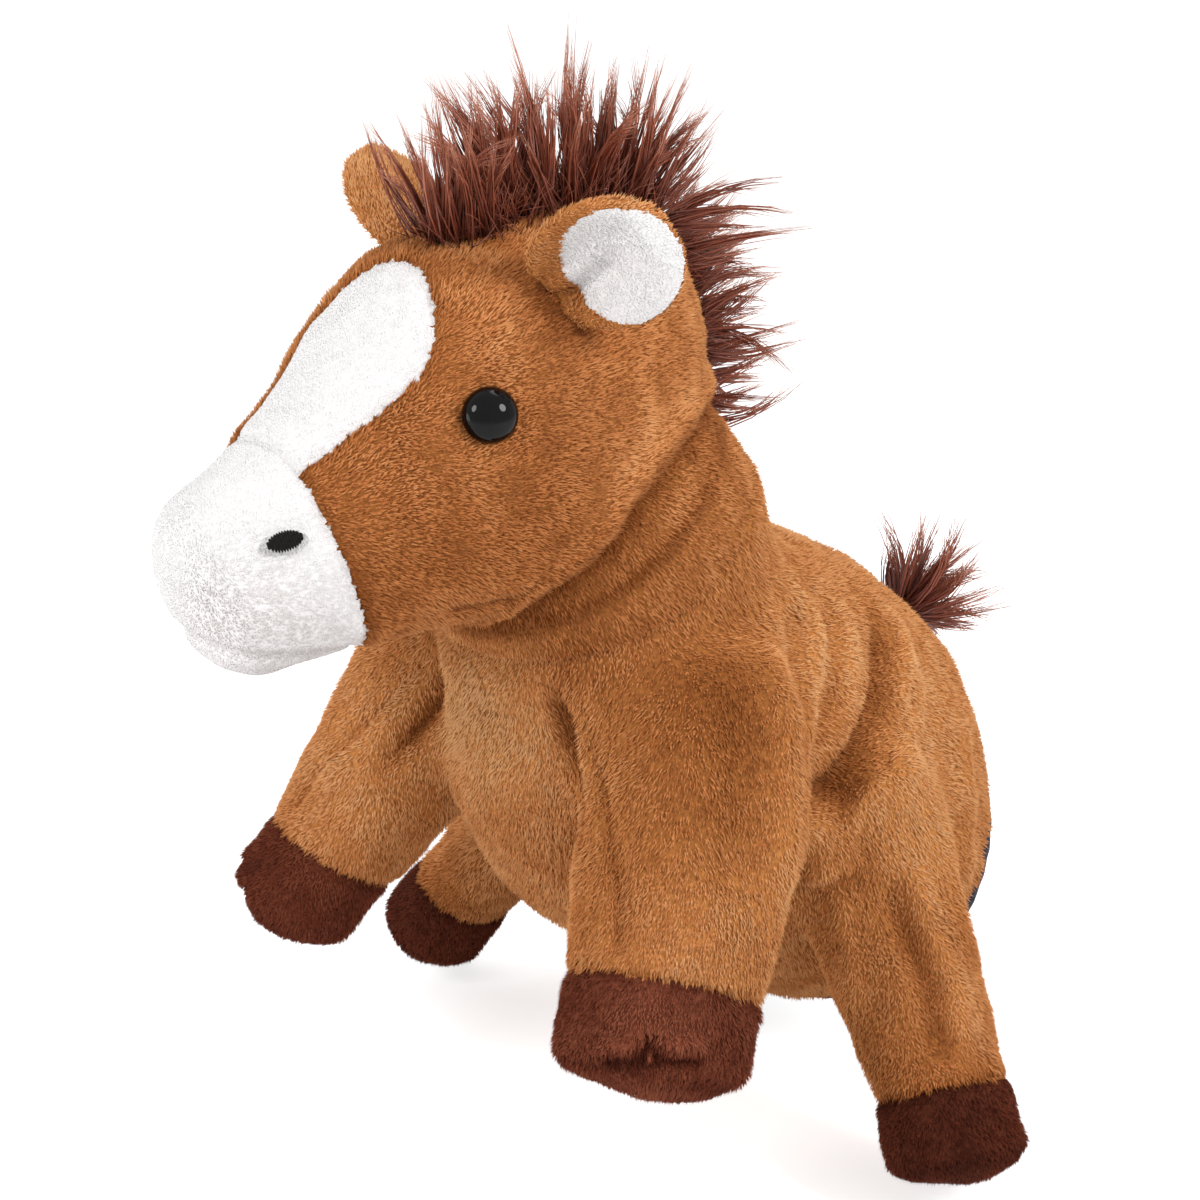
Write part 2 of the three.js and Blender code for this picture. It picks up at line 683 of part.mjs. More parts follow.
function buildMane() {
  const path = manePath();
  const side = new THREE.Vector3(1, 0, 0);
  const steps = 2 * maneSpikes;
  const sway = (n) => 0.6 * Math.sin(n * 2.4) + 0.4 * Math.sin(n * 5.1);
  const points = [];
  for (let i = 0; i <= steps; i += 1) {
    const u = i / steps;
    const root = path.getPointAt(u);
    const tangent = path.getTangentAt(u);
    const out = side.clone().cross(tangent).normalize();
    const spike = i % 2 === 1;
    const full = u < maneCrown ? THREE.MathUtils.lerp(maneLengthFront, maneLengthTop, u / maneCrown)
      : THREE.MathUtils.lerp(maneLengthTop, maneLengthNape, (u - maneCrown) / (1 - maneCrown));
    const length = full * (1 + 0.09 * sway(i)) - (spike ? 0 : maneNotch);
    const lean = maneFan * sway(i + 3) * degrees;
    const tip = out.clone().multiplyScalar(Math.cos(lean)).addScaledVector(side, Math.sin(lean));
    const place = (across, deep, direction) => {
      const point = root.clone().addScaledVector(side, across).addScaledVector(direction, deep);
      points.push(...point.toArray());
    };
    const half = maneWidth / 2;
    place(-half, 0, out);
    place(-half * 0.7, length * 0.55, tip);
    place(-half * 0.16, length, tip);
    place(half * 0.16, length, tip);
    place(half * 0.7, length * 0.55, tip);
    place(half, 0, out);
  }
  const ring = 6;
  const index = [];
  for (let k = 1; k < ring - 1; k += 1) {
    index.push(0, k + 1, k);
    const last = steps * ring;
    index.push(last, last + k, last + k + 1);
  }
  for (let i = 0; i < steps; i += 1) {
    for (let k = 0; k < ring; k += 1) {
      const a = i * ring + k;
      const b = i * ring + ((k + 1) % ring);
      index.push(a, b + ring, a + ring, a, b, b + ring);
    }
  }
  const geometry = new THREE.BufferGeometry();
  geometry.setAttribute('position', new THREE.Float32BufferAttribute(points, 3));
  geometry.setIndex(index);
  const seatedMane = toSolid(geometry).subtract(headForm.solid(headAlong, headAround, -layerGap)).subtract(neckRoom);
  addToHead('mane', toGeometry(seatedMane), maneHair);
}

// A pointed lock of three sides
function lock(root, direction, length, width) {
  const across = new THREE.Vector3(0, 0, 1).cross(direction);
  if (across.length() < 0.2) across.set(1, 0, 0);
  across.normalize();
  const over = direction.clone().cross(across).normalize();
  const ring = (centre, radius) => [90, 210, 330].map((angle) => centre.clone()
    .addScaledVector(across, radius * Math.cos(angle * degrees))
    .addScaledVector(over, radius * Math.sin(angle * degrees)));
  const middle = root.clone().addScaledVector(direction, length * 0.55);
  const tip = root.clone().addScaledVector(direction, length);
  const points = [...ring(root, width / 2), ...ring(middle, width * 0.42), tip];
  const index = [0, 2, 1];
  for (let k = 0; k < 3; k += 1) {
    const next = (k + 1) % 3;
    index.push(k, next, next + 3, k, next + 3, k + 3, k + 3, next + 3, 6);
  }
  const geometry = new THREE.BufferGeometry();
  geometry.setAttribute('position', new THREE.Float32BufferAttribute(points.flatMap((p) => p.toArray()), 3));
  geometry.setIndex(index);
  return toSolid(geometry);
}

// Tail: a short tuft on a sewn root
function buildTail() {
  const normal = bodyForm.normal(tailPlace.along, tailPlace.round);
  const seat = bodyForm.point(tailPlace.along, tailPlace.round);
  const root = seat.addScaledVector(normal, tailRootRadius - tailRootSink);
  const rise = tailRise * degrees;
  const across = new THREE.Vector3(1, 0, 0);
  const heading = normal.clone().applyAxisAngle(across, rise);
  const over = heading.clone().cross(across);
  let tail = ball(root, tailRootRadius, 10);
  const goldenAngle = 137.508;
  for (let i = 0; i < tailLocks; i += 1) {
    const spread = tailSpread * Math.sqrt((i + 0.5) / tailLocks) * degrees;
    const turn = i * goldenAngle * degrees;
    const direction = heading.clone().multiplyScalar(Math.cos(spread))
      .addScaledVector(across, Math.sin(spread) * Math.cos(turn))
      .addScaledVector(over, Math.sin(spread) * Math.sin(turn)).normalize();
    const start = root.clone().addScaledVector(direction, tailRootRadius * 0.5);
    tail = tail.add(lock(start, direction, tailLength - tailRootRadius * 0.5, tailLockWidth));
  }
  const swing = { pivot: root, axis: across, range: tailRange };
  addPiece(puppet, 'tail_tuft', toGeometry(sweptAway(tail, bodyKeepOut, swing)), maneHair);
}

// Legs
const bodyKeepOut = bodyForm.geometry(bodyAlong, bodyAround, -jointGap, 2);

function addPairToBody(name, geometry, material) {
  addPiece(puppet, name.replace('SIDE', 'left'), geometry, material);
  addPiece(puppet, name.replace('SIDE', 'right'), mirrored(geometry), material);
}

function legCuts(form) {
  const end = form.frame(1);
  const back = end.tangent.clone().negate();
  const at = (depth) => end.centre.clone().addScaledVector(back, depth);
  return {
    above: (depth) => halfSpace(at(depth), back),
    below: (depth) => halfSpace(at(depth), end.tangent),
  };
}

function addHoof(prefix, cuts, skin, hoofDepth) {
  const hoof = skin.intersect(cuts.below(hoofDepth)).intersect(cuts.above(soleDepth + seamGap));
  addPairToBody(`${prefix}_SIDE_hoof`, toGeometry(hoof), hoofPlush);
  addPairToBody(`${prefix}_SIDE_sole`, toGeometry(skin.intersect(cuts.below(soleDepth))), hoofPlush);
}

function buildFrontLegs() {
  const form = new StuffedForm(frontLegStations, frontLegSide);
  const cuts = legCuts(form);
  const inside = form.solid(legAlong, legAround, plushThickness);
  const skin = form.solid(legAlong, legAround).subtract(inside);
  const sleeve = sweptAway(skin.intersect(cuts.above(frontHoofDepth + seamGap)), bodyKeepOut, shoulder);
  addPairToBody('front_leg_SIDE_sleeve', toGeometry(sleeve), tanPlush);
  addHoof('front_leg', cuts, skin, frontHoofDepth);
  const stuffing = form.solid(legAlong, legAround, liningDepth).intersect(cuts.below(hoofStuffingDepth));
  addPairToBody('front_leg_SIDE_hoof_stuffing', toGeometry(stuffing), stuffingFibre);
  const lining = form.solid(legAlong, legAround, liningDepth)
    .intersect(cuts.above(hoofStuffingDepth + layerGap));
  const fingerSpace = form.solid(legAlong, legAround, liningDepth + liningThickness)
    .intersect(cuts.above(hoofStuffingDepth + layerGap + liningThickness));
  const sewn = sweptAway(lining.subtract(fingerSpace), bodyKeepOut, shoulder);
  addPairToBody('front_leg_SIDE_lining', toGeometry(sewn), liningCloth);
}

function buildHindLegs() {
  const form = new StuffedForm(hindLegStations, hindLegSide);
  const cuts = legCuts(form);
  const inside = form.solid(legAlong, legAround, plushThickness);
  const skin = form.solid(legAlong, legAround).subtract(inside);
  const sleeve = sweptAway(skin.intersect(cuts.above(hindHoofDepth + seamGap)), bodyKeepOut, hip);
  addPairToBody('hind_leg_SIDE_skin', toGeometry(sleeve), tanPlush);
  addHoof('hind_leg', cuts, skin, hindHoofDepth);
  const stuffing = sweptAway(form.solid(legAlong, legAround, liningDepth), bodyKeepOut, hip);
  addPairToBody('hind_leg_SIDE_stuffing', toGeometry(stuffing), stuffingFibre);
}

buildBody();
buildNeck();
buildHead();
buildEyes();
buildEars();
buildMane();
buildTail();
buildFrontLegs();
buildHindLegs();

export default puppet;
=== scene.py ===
import math

import bpy
import numpy as np
from mathutils import Matrix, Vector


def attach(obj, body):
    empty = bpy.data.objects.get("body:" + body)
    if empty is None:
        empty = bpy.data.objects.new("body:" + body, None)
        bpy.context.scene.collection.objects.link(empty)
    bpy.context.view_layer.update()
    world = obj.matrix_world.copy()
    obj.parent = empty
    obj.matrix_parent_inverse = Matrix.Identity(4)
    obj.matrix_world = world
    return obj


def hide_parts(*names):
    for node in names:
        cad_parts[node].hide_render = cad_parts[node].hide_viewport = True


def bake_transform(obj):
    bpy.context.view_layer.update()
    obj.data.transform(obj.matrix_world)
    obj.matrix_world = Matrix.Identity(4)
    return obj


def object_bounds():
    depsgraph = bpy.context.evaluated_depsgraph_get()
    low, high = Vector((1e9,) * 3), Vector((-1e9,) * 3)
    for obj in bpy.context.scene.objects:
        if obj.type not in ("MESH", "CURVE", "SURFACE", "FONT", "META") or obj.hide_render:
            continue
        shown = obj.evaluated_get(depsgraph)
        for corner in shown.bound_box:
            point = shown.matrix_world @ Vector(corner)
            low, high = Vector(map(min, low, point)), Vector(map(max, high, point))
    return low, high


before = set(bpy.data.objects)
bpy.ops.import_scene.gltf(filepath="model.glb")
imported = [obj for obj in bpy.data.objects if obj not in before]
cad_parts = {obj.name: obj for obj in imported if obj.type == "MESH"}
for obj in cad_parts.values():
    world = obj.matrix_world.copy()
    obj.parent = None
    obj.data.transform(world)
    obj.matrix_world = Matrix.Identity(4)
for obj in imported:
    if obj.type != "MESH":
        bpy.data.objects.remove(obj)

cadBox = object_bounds()
mm = 0.001
chance = np.random.default_rng(7)
scene = bpy.context.scene
print("frame loaded:", len(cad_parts), "nodes")


# Small vector helpers, all on whole arrays
def unit(values):
    values = np.asarray(values, float)
    return values / np.maximum(np.linalg.norm(values, axis=-1, keepdims=True), 1e-9)


def dot(a, b):
    return (a * b).sum(-1, keepdims=True)


def smooth(low, high, values):
    # eased step: 0 below low, 1 above high, 3x^2 - 2x^3 between
    x = np.clip((values - low) / (high - low), 0, 1)
    return x * x * (3 - 2 * x)


def bell(values, width):
    return np.exp(-(values / width) ** 2)


def lengthOf(vectors):
    return np.linalg.norm(vectors, axis=-1)


def ripple(points, size, seed):
    # soft noise about -1 to 1: the mean of eight sine waves of one size in set random directions
    waves = np.random.default_rng(seed)
    total = np.zeros(len(points))
    for _ in range(8):
        heading = unit(waves.normal(size=3)) * waves.uniform(0.7, 1.4)
        total += np.sin(points @ heading * (2 * math.pi / size) + waves.uniform(0, 6.28))
    return total / 4


def linear(code):
    channels = [int(code[i:i + 2], 16) / 255 for i in (1, 3, 5)]
    return [c / 12.92 if c <= 0.04045 else ((c + 0.055) / 1.055) ** 2.4 for c in channels] + [1.0]


# Camera: the photograph's viewing angle
view = dict(azimuth=45, elevation=18, lens=85, sensor=36, distance=666, target=(0, -88.5, 96.4))


def newObject(name, data):
    item = bpy.data.objects.new(name, data)
    scene.collection.objects.link(item)
    return item


def placeAt(item, right, up, back, place):
    # the matrix's columns are the item's own axes and its place in metres
    matrix = np.eye(4)
    matrix[:3] = np.stack([right, up, back, place], 1)
    item.matrix_world = Matrix(matrix.tolist())


def placeCamera():
    around, above = math.radians(view["azimuth"]), math.radians(view["elevation"])
    level = math.cos(above)
    toward = np.array([math.sin(around) * level, -math.cos(around) * level, math.sin(above)])
    right = np.array([math.cos(around), math.sin(around), 0])
    data = bpy.data.cameras.new("camera")
    data.lens, data.sensor_width, data.sensor_fit = view["lens"], view["sensor"], "HORIZONTAL"
    scene.camera = newObject("camera", data)
    place = (np.array(view["target"]) + toward * view["distance"]) * mm
    placeAt(scene.camera, right, np.cross(toward, right), toward, place)


placeCamera()
scene.view_settings.view_transform = "Standard"
print("camera placed")


# Materials
def add(tree, kind, inputs=None, stops=None, **settings):
    node = tree.nodes.new("ShaderNode" + kind)
    for name, value in settings.items():
        setattr(node, name, value)
    for name, value in (inputs or {}).items():
        if isinstance(value, bpy.types.NodeSocket):
            tree.links.new(value, node.inputs[name])
        else:
            node.inputs[name].default_value = value
    if stops:
        ramp = node.color_ramp.elements
        while len(ramp) < len(stops):
            ramp.new(0.5)
        for element, (place, code) in zip(ramp, stops):
            element.position, element.color = place, linear(code)
    return node


def newMaterial(name):
    material = bpy.data.materials.new(name)
    material.use_nodes = True
    material.node_tree.nodes.clear()
    return material, material.node_tree


def finished(material, shader):
    add(material.node_tree, "OutputMaterial", {"Surface": shader.outputs["BSDF"]})
    return material


def grainOf(tree, size, stops, detail=2.0, rough=0.5):
    # noise of a size in millimetres on the piece's own coordinates, and the colours that it picks
    place = add(tree, "TexCoord")
    grain = add(tree, "TexNoise", {"Vector": place.outputs["Object"], "Scale": 1 / (size * mm),
                                   "Detail": detail, "Roughness": rough})
    return grain, add(tree, "ValToRGB", {"Fac": grain.outputs["Fac"]}, stops)


# Polyester velour plush: each brushed tuft is dark where it roots and paler at its lit tip, with no gloss
def pileMaterial(name, stops, rootShade, sheen):
    material, tree = newMaterial(name)
    tone, tip = (add(tree, "Attribute", attribute_name=key) for key in ("tone", "tip"))
    colour = add(tree, "ValToRGB", {"Fac": tone.outputs["Fac"]}, stops)
    rooted = add(tree, "Mix", {0: tip.outputs["Fac"], 6: linear(rootShade), 7: colour.outputs["Color"]},
                 data_type="RGBA")
    return finished(material, add(tree, "BsdfPrincipled", {
        "Base Color": rooted.outputs[2], "Roughness": 0.88, "Specular IOR Level": 0.08,
        "Sheen Weight": sheen, "Sheen Roughness": 0.5, "Sheen Tint": linear(stops[-1][1])}))


# The knitted ground under the pile: as pale as the pile over it, with the streaks of its roots 1 mm apart
def groundMaterial(name, dark, light, spacing=1.0, streak="#c4c4c4"):
    material, tree = newMaterial(name)
    tone = add(tree, "Attribute", attribute_name="tone")
    shade = add(tree, "ValToRGB", {"Fac": tone.outputs["Fac"]}, [(0.0, dark), (1.0, light)])
    streaks, roots = grainOf(tree, spacing, [(0.3, streak), (0.7, "#ffffff")], 3.0, 0.6)
    colour = add(tree, "Mix", {0: 1.0, 6: shade.outputs["Color"], 7: roots.outputs["Color"]},
                 data_type="RGBA", blend_type="MULTIPLY")
    bump = add(tree, "Bump", {"Height": streaks.outputs["Fac"], "Strength": 0.8, "Distance": 0.6 * mm})
    return finished(material, add(tree, "BsdfPrincipled", {
        "Base Color": colour.outputs[2], "Roughness": 0.95, "Specular IOR Level": 0.05,
        "Normal": bump.outputs["Normal"]}))


# Woven polyester lining and binding tape: threads 0.4 mm apart, drawn at 0.8 mm so that they show
def wovenMaterial(name, dark, light, spacing=0.8, roughness=0.6):
    material, tree = newMaterial(name)
    place = add(tree, "TexCoord")
    warp, weft = (add(tree, "TexWave", {"Vector": place.outputs["Object"], "Scale": 0.16 / (spacing * mm),
                                        "Distortion": 0.6}, bands_direction=axis) for axis in ("X", "Z"))
    weave = add(tree, "Math", {0: warp.outputs["Fac"], 1: weft.outputs["Fac"]}, operation="MAXIMUM")
    colour = add(tree, "ValToRGB", {"Fac": weave.outputs["Value"]}, [(0.2, dark), (0.9, light)])
    bump = add(tree, "Bump", {"Height": weave.outputs["Value"], "Strength": 0.5, "Distance": 0.2 * mm})
    return finished(material, add(tree, "BsdfPrincipled", {
        "Base Color": colour.outputs["Color"], "Roughness": roughness, "Specular IOR Level": 0.2,
        "Normal": bump.outputs["Normal"]}))


# Modacrylic craft hair: smooth fibres with a long highlight, dark at the root, pink-brown at the tip
def hairMaterial(name):
    material, tree = newMaterial(name)
    tone, tip = (add(tree, "Attribute", attribute_name=key) for key in ("tone", "tip"))
    length = add(tree, "ValToRGB", {"Fac": tip.outputs["Fac"]},
                 [(0.0, "#4a1c11"), (0.3, "#86402b"), (0.7, "#b5674b"), (1.0, "#d9997d")])
    strand = add(tree, "ValToRGB", {"Fac": tone.outputs["Fac"]}, [(0.0, "#b09a92"), (1.0, "#ffffff")])
    colour = add(tree, "Mix", {0: 1.0, 6: length.outputs["Color"], 7: strand.outputs["Color"]},
                 data_type="RGBA", blend_type="MULTIPLY")
    return finished(material, add(tree, "BsdfPrincipled", {
        "Base Color": colour.outputs[2], "Roughness": 0.36, "Specular IOR Level": 0.42,
        "Sheen Weight": 0.15, "Sheen Tint": linear("#d99a80")}))


# Moulded gloss ABS of the safety eyes, with the faint waves of the mould
def eyeMaterial():
    material, tree = newMaterial("gloss_black_moulded_abs")
    _, colour = grainOf(tree, 6, [(0.3, "#050404"), (0.8, "#0d0a0a")])
    return finished(material, add(tree, "BsdfPrincipled", {
        "Base Color": colour.outputs["Color"], "Roughness": 0.04, "IOR": 1.54, "Specular IOR Level": 0.14}))


# White nylon washer, slightly matt from the mould
def washerMaterial():
    material, tree = newMaterial("moulded_nylon_washer")
    grain, colour = grainOf(tree, 0.8, [(0.2, "#dcdcd6"), (0.8, "#efefea")])
    bump = add(tree, "Bump", {"Height": grain.outputs["Fac"], "Strength": 0.1, "Distance": 0.1 * mm})
    return finished(material, add(tree, "BsdfPrincipled", {
        "Base Color": colour.outputs["Color"], "Roughness": 0.4, "IOR": 1.53,
        "Normal": bump.outputs["Normal"]}))


plush = {
    "tan": dict(
        slot="tan_plush",
        pile=pileMaterial("tan_velour_pile", [(0.0, "#945429"), (0.35, "#d0844a"), (0.7, "#eca66a"),
                                              (1.0, "#f7bd83")], "#7a3e1a", 0.22),
        ground=groundMaterial("tan_velour_ground", "#75390f", "#d28c4e")),
    "white": dict(
        slot="white_plush",
        pile=pileMaterial("white_velour_pile", [(0.0, "#c9c1be"), (0.5, "#e4e0df"), (1.0, "#f4f3f3")],
                          "#e2dede", 0.05),
        ground=groundMaterial("white_velour_ground", "#cfc8c6", "#f2f0f0", streak="#efefef")),
    "hoof": dict(
        slot="brown_plush",
        pile=pileMaterial("brown_velour_pile", [(0.0, "#421a10"), (0.5, "#783b28"), (1.0, "#a86247")],
                          "#35150c", 0.15),
        ground=groundMaterial("brown_velour_ground", "#37170d", "#8a4c37")),
}
hair = hairMaterial("modacrylic_craft_hair")
liningCloth = wovenMaterial("navy_woven_lining", "#171923", "#2a2d3d")
bindingCloth = wovenMaterial("navy_binding_tape", "#0f1018", "#242636", spacing=0.9, roughness=0.7)
fibre = groundMaterial("polyester_fibre_filling", "#f3f0e8", "#f7f5ee", spacing=1.6, streak="#dedede")
eyeGloss = eyeMaterial()
washerNylon = washerMaterial()
stitchThread = wovenMaterial("black_polyester_thread", "#040303", "#100c0c", spacing=0.5, roughness=0.8)
print("materials made")


# Meshes
def newPiece(name, points, faces, material, values=None, polish=True):
    mesh = bpy.data.meshes.new(name)
    mesh.vertices.add(len(points))
    mesh.vertices.foreach_set("co", (np.asarray(points) * mm).astype(np.float32).ravel())
    mesh.loops.add(faces.size)
    mesh.loops.foreach_set("vertex_index", faces.astype(np.int32).ravel())
    mesh.polygons.add(len(faces))
    mesh.polygons.foreach_set("loop_start", np.arange(0, faces.size, faces.shape[1], dtype=np.int32))
    mesh.polygons.foreach_set("use_smooth", np.full(len(faces), polish))
    mesh.update(calc_edges=True)
    for key, column in (values or {}).items():
        mesh.attributes.new(key, "FLOAT", "POINT").data.foreach_set("value", column.astype(np.float32))
    mesh.materials.append(material)
    return newObject(name, mesh)


def dress(piece, node, follow):
    # the CAD node that the piece stands for is hidden, and the piece follows its body
    if node:
        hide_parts(node)
    follow(piece)
    return piece


def gridFaces(rows, columns, wrap=True):
    # quads between neighbouring rows and columns, the last column joined to the first when it wraps
    i = np.arange(rows - 1)[:, None]
    j = np.arange(columns if wrap else columns - 1)[None, :]
    k = (j + 1) % columns
    low, high = i * columns, (i + 1) * columns
    return np.stack([low + j, low + k, high + k, high + j], -1).reshape(-1, 4)


def capped(grid):
    # a tube of rings closed by a fan of doubled corners to a middle point at each end
    rows, columns = grid.shape[:2]
    points = np.vstack([grid.reshape(-1, 3), grid[0].mean(0), grid[-1].mean(0)])
    j = np.arange(columns)
    k = (j + 1) % columns
    first, last = np.full(columns, rows * columns), np.full(columns, rows * columns + 1)
    base = (rows - 1) * columns
    fans = np.vstack([np.stack([first, first, k, j], -1), np.stack([last, last, base + j, base + k], -1)])
    return points, gridFaces(rows, columns), fans


def repeated(faces, count, step):
    # one small mesh's triangles for each of its copies, step points apart
    return (np.arange(count)[:, None, None] * step + faces[None]).reshape(-1, 3)


def halved(quads):
    return np.vstack([quads[:, [0, 1, 2]], quads[:, [0, 2, 3]]])


def closedTube(grid):
    points, quads, fans = capped(grid)
    return points, np.vstack([halved(quads), fans[:, [0, 2, 3]]])


def joined(shapes):
    # several meshes of points and faces as one
    starts = np.cumsum([0] + [len(points) for points, _ in shapes])
    faces = [faces + start for (_, faces), start in zip(shapes, starts)]
    return np.vstack([points for points, _ in shapes]), np.vstack(faces)


def felted(grids, voxel):
    # closed tubes joined and remeshed into one even cloth surface; voxel is its mesh size in mm
    rough = newPiece("rough", *joined([closedTube(grid) for grid in grids]), fibre)
    remesh = rough.modifiers.new("remesh", "REMESH")
    remesh.mode, remesh.voxel_size = "VOXEL", voxel * mm
    shown = rough.evaluated_get(bpy.context.evaluated_depsgraph_get())
    mesh = shown.to_mesh()
    points = np.zeros(len(mesh.vertices) * 3, np.float32)
    mesh.vertices.foreach_get("co", points)
    quads = np.zeros(len(mesh.loops), np.int32)
    mesh.loops.foreach_get("vertex_index", quads)
    shown.to_mesh_clear()
    bpy.data.objects.remove(rough)
    return points.reshape(-1, 3).astype(float) / mm, quads.reshape(-1, 4)


def edgesOf(quads):
    pairs = np.vstack([quads[:, [0, 1]], quads[:, [1, 2]], quads[:, [2, 3]], quads[:, [3, 0]]])
    return np.unique(np.sort(pairs, 1), axis=0)


def relaxed(points, edges, amounts, rounds):
    # each round moves a point by its own share towards the mean of its neighbours
    here, there = edges.ravel(), edges[:, ::-1].ravel()
    count = np.maximum(np.bincount(here, minlength=len(points)), 1)[:, None]
    for _ in range(rounds):
        total = np.stack([np.bincount(here, points[there, k], len(points)) for k in range(3)], 1)
        points = points + amounts * (total / count - points)
    return points


def normalsOf(points, faces):
    # the mean of the cross products of each face's diagonals, at each point
    a, b, c, d = (points[faces[:, k % faces.shape[1]]] for k in range(4))
    cross = np.cross(c - a, d - b)
    corners = faces.ravel()
    spread = np.repeat(cross, faces.shape[1], axis=0)
    return unit(np.stack([np.bincount(corners, spread[:, k], len(points)) for k in range(3)], 1))


def wavy(points, normal, waves):
    # soft unevenness of the cloth: each wave's height, size and seed
    lift = sum(height * ripple(points, size, seed) for height, size, seed in waves)
    return points + lift[:, None] * normal


def snapped(points, field, reach):
    # points nearer than reach to a field's zero are moved onto it, so that a seam runs clean
    value = field(points)
    nudge = 0.05
    slope = np.stack([field(points + nudge * axis) - value for axis in np.eye(3)], 1) / nudge
    near = np.abs(value) < reach
    steep = np.maximum((slope ** 2).sum(1), 0.05)
    points[near] -= (value / steep)[near, None] * slope[near]
    return points


def toPolyline(points, line):
    # distance from each point to a polyline, the share along it, and the nearest stretch's direction
    line = np.asarray(line, float)
    lengths = lengthOf(np.diff(line, axis=0))
    before = np.concatenate([[0], np.cumsum(lengths)])
    best = np.full(len(points), np.inf)
    share, near, heading = np.zeros(len(points)), np.zeros_like(points), np.zeros_like(points)
    for i, length in enumerate(lengths):
        step = (line[i + 1] - line[i]) / length
        t = np.clip((points - line[i]) @ step, 0, length)
        foot = line[i] + t[:, None] * step
        gap = lengthOf(points - foot)
        closer = gap < best
        best[closer], near[closer], heading[closer] = gap[closer], foot[closer], step
        share[closer] = (before[i] + t[closer]) / before[-1]
    return best, share, near, heading


def folded(points, quads, folds):
    # each fold sinks a valley along its line, drawn on the cloth, or lifts a crest where its depth is below
    # zero, adds a rounded ridge on one side, and fades out at its ends; the pile gets painted shade in a
    # valley, a painted highlight on a crest or ridge, and a painted shadow along the line where the fold is
    # given dark
    shade = np.zeros(len(points))
    for fold in folds:
        normal = normalsOf(points, quads)
        line = [points[((points - np.array(corner)) ** 2).sum(1).argmin()] for corner in fold["line"]]
        gap, share, near, heading = toPolyline(points, line)
        beside = dot(points - near, np.cross(normal, heading))[:, 0] * fold.get("side", 1)
        fade = smooth(0, fold.get("fadeIn", 0.2), share)
        fade = fade * (1 - smooth(1 - fold.get("fadeOut", 0.2), 1, share))
        width = fold["width"]
        valley = -fold["depth"] * bell(gap, width)
        away = bell(beside - 1.7 * width, 1.1 * width) * (gap < 5 * width)
        ridge = fold.get("ridge", 0) * away
        points = points + (fade * (valley + ridge))[:, None] * normal
        # painted shade and highlight: valleys darker, crests and ridges paler, and dark as a painted shadow
        shade += fade * (0.07 * (valley + ridge) - fold.get("dark", 0) * bell(gap, width))
    return points, shade


class StuffedForm:
    # oval sections strung on a Catmull-Rom curve through the stations, front and back depths set apart
    def __init__(self, stations, side, fullness=2.0):
        self.stations = np.array(stations, float)
        self.side = unit(side)
        self.fullness = fullness

    def along(self, t):
        rows = self.stations
        last = len(rows) - 1
        place = np.clip(np.asarray(t, float), 0, 1) * last
        i = np.minimum(place.astype(int), last - 1)
        f = (place - i)[..., None]
        padded = np.vstack([2 * rows[0] - rows[1], rows, 2 * rows[-1] - rows[-2]])
        a, b, c, d = padded[i], padded[i + 1], padded[i + 2], padded[i + 3]
        cubic = 3 * b - a - 3 * c + d
        return 0.5 * (2 * b + (c - a) * f + (2 * a - 5 * b + 4 * c - d) * f ** 2 + cubic * f ** 3)

    def frame(self, t):
        t = np.asarray(t, float)
        row = self.along(t)
        ahead, behind = self.along(np.minimum(1, t + 0.01)), self.along(np.maximum(0, t - 0.01))
        tangent = unit(ahead[..., :3] - behind[..., :3])
        side = unit(self.side - tangent * dot(tangent, self.side))
        return row[..., :3], row[..., 3:], tangent, side, np.cross(side, tangent)

    def surface(self, t, angle, lift=0.0):
        # centre + side * superellipse cosine * half width + front * superellipse sine * depth
        centre, half, _, side, front = self.frame(t)
        across, deep = np.cos(np.radians(angle)), np.sin(np.radians(angle))
        swell = 2 / self.fullness
        depth = np.where(deep > 0, half[..., 1], half[..., 2])
        wide = np.sign(across) * np.abs(across) ** swell * np.maximum(0.4, half[..., 0] + lift)
        tall = np.sign(deep) * np.abs(deep) ** swell * np.maximum(0.4, depth + lift)
        return centre + side * wide[..., None] + front * tall[..., None]

    def grid(self, rows, columns, lift=0.0, start=0.0, end=1.0):
        turn = 360 * np.arange(columns) / columns
        return self.surface(*np.meshgrid(np.linspace(start, end, rows), turn, indexing="ij"), lift)

    def nap(self, points):
        # the curve's direction at its nearest place, and how far out the points lie in half widths
        samples = np.linspace(0, 1, 40)
        centre, half, tangent, _, _ = self.frame(samples)
        gaps = lengthOf(points[:, None, :] - centre[None])
        nearest = gaps.argmin(1)
        return tangent[nearest], gaps[np.arange(len(points)), nearest] / half[nearest].mean(1)


# Pile: tufts of velour as thin closed spikes that lean with the nap; lengths in mm, density per square mm
pileLook = dict(length=1.75, width=0.63, whiteWidth=1.5, sunk=0.25, lean=36, density=2.95, most=45000,
                ground=1.6, patch=13, sway=0.22, leanPatch=0.25, leanChance=0.22, lengthPatch=0.12,
                lengthChance=0.25, widthChance=(0.7, 1.15), tone=0.54, patchy=0.13, scatter=0.22,
                # the white pile's tone, and its shares of the patches, painted shade patches and painted
                # crease shade
                whiteTone=(0.9, 0.06, 1.3, 0.5), rootTips=[0.5, 0.5, 0.65, 1.0])
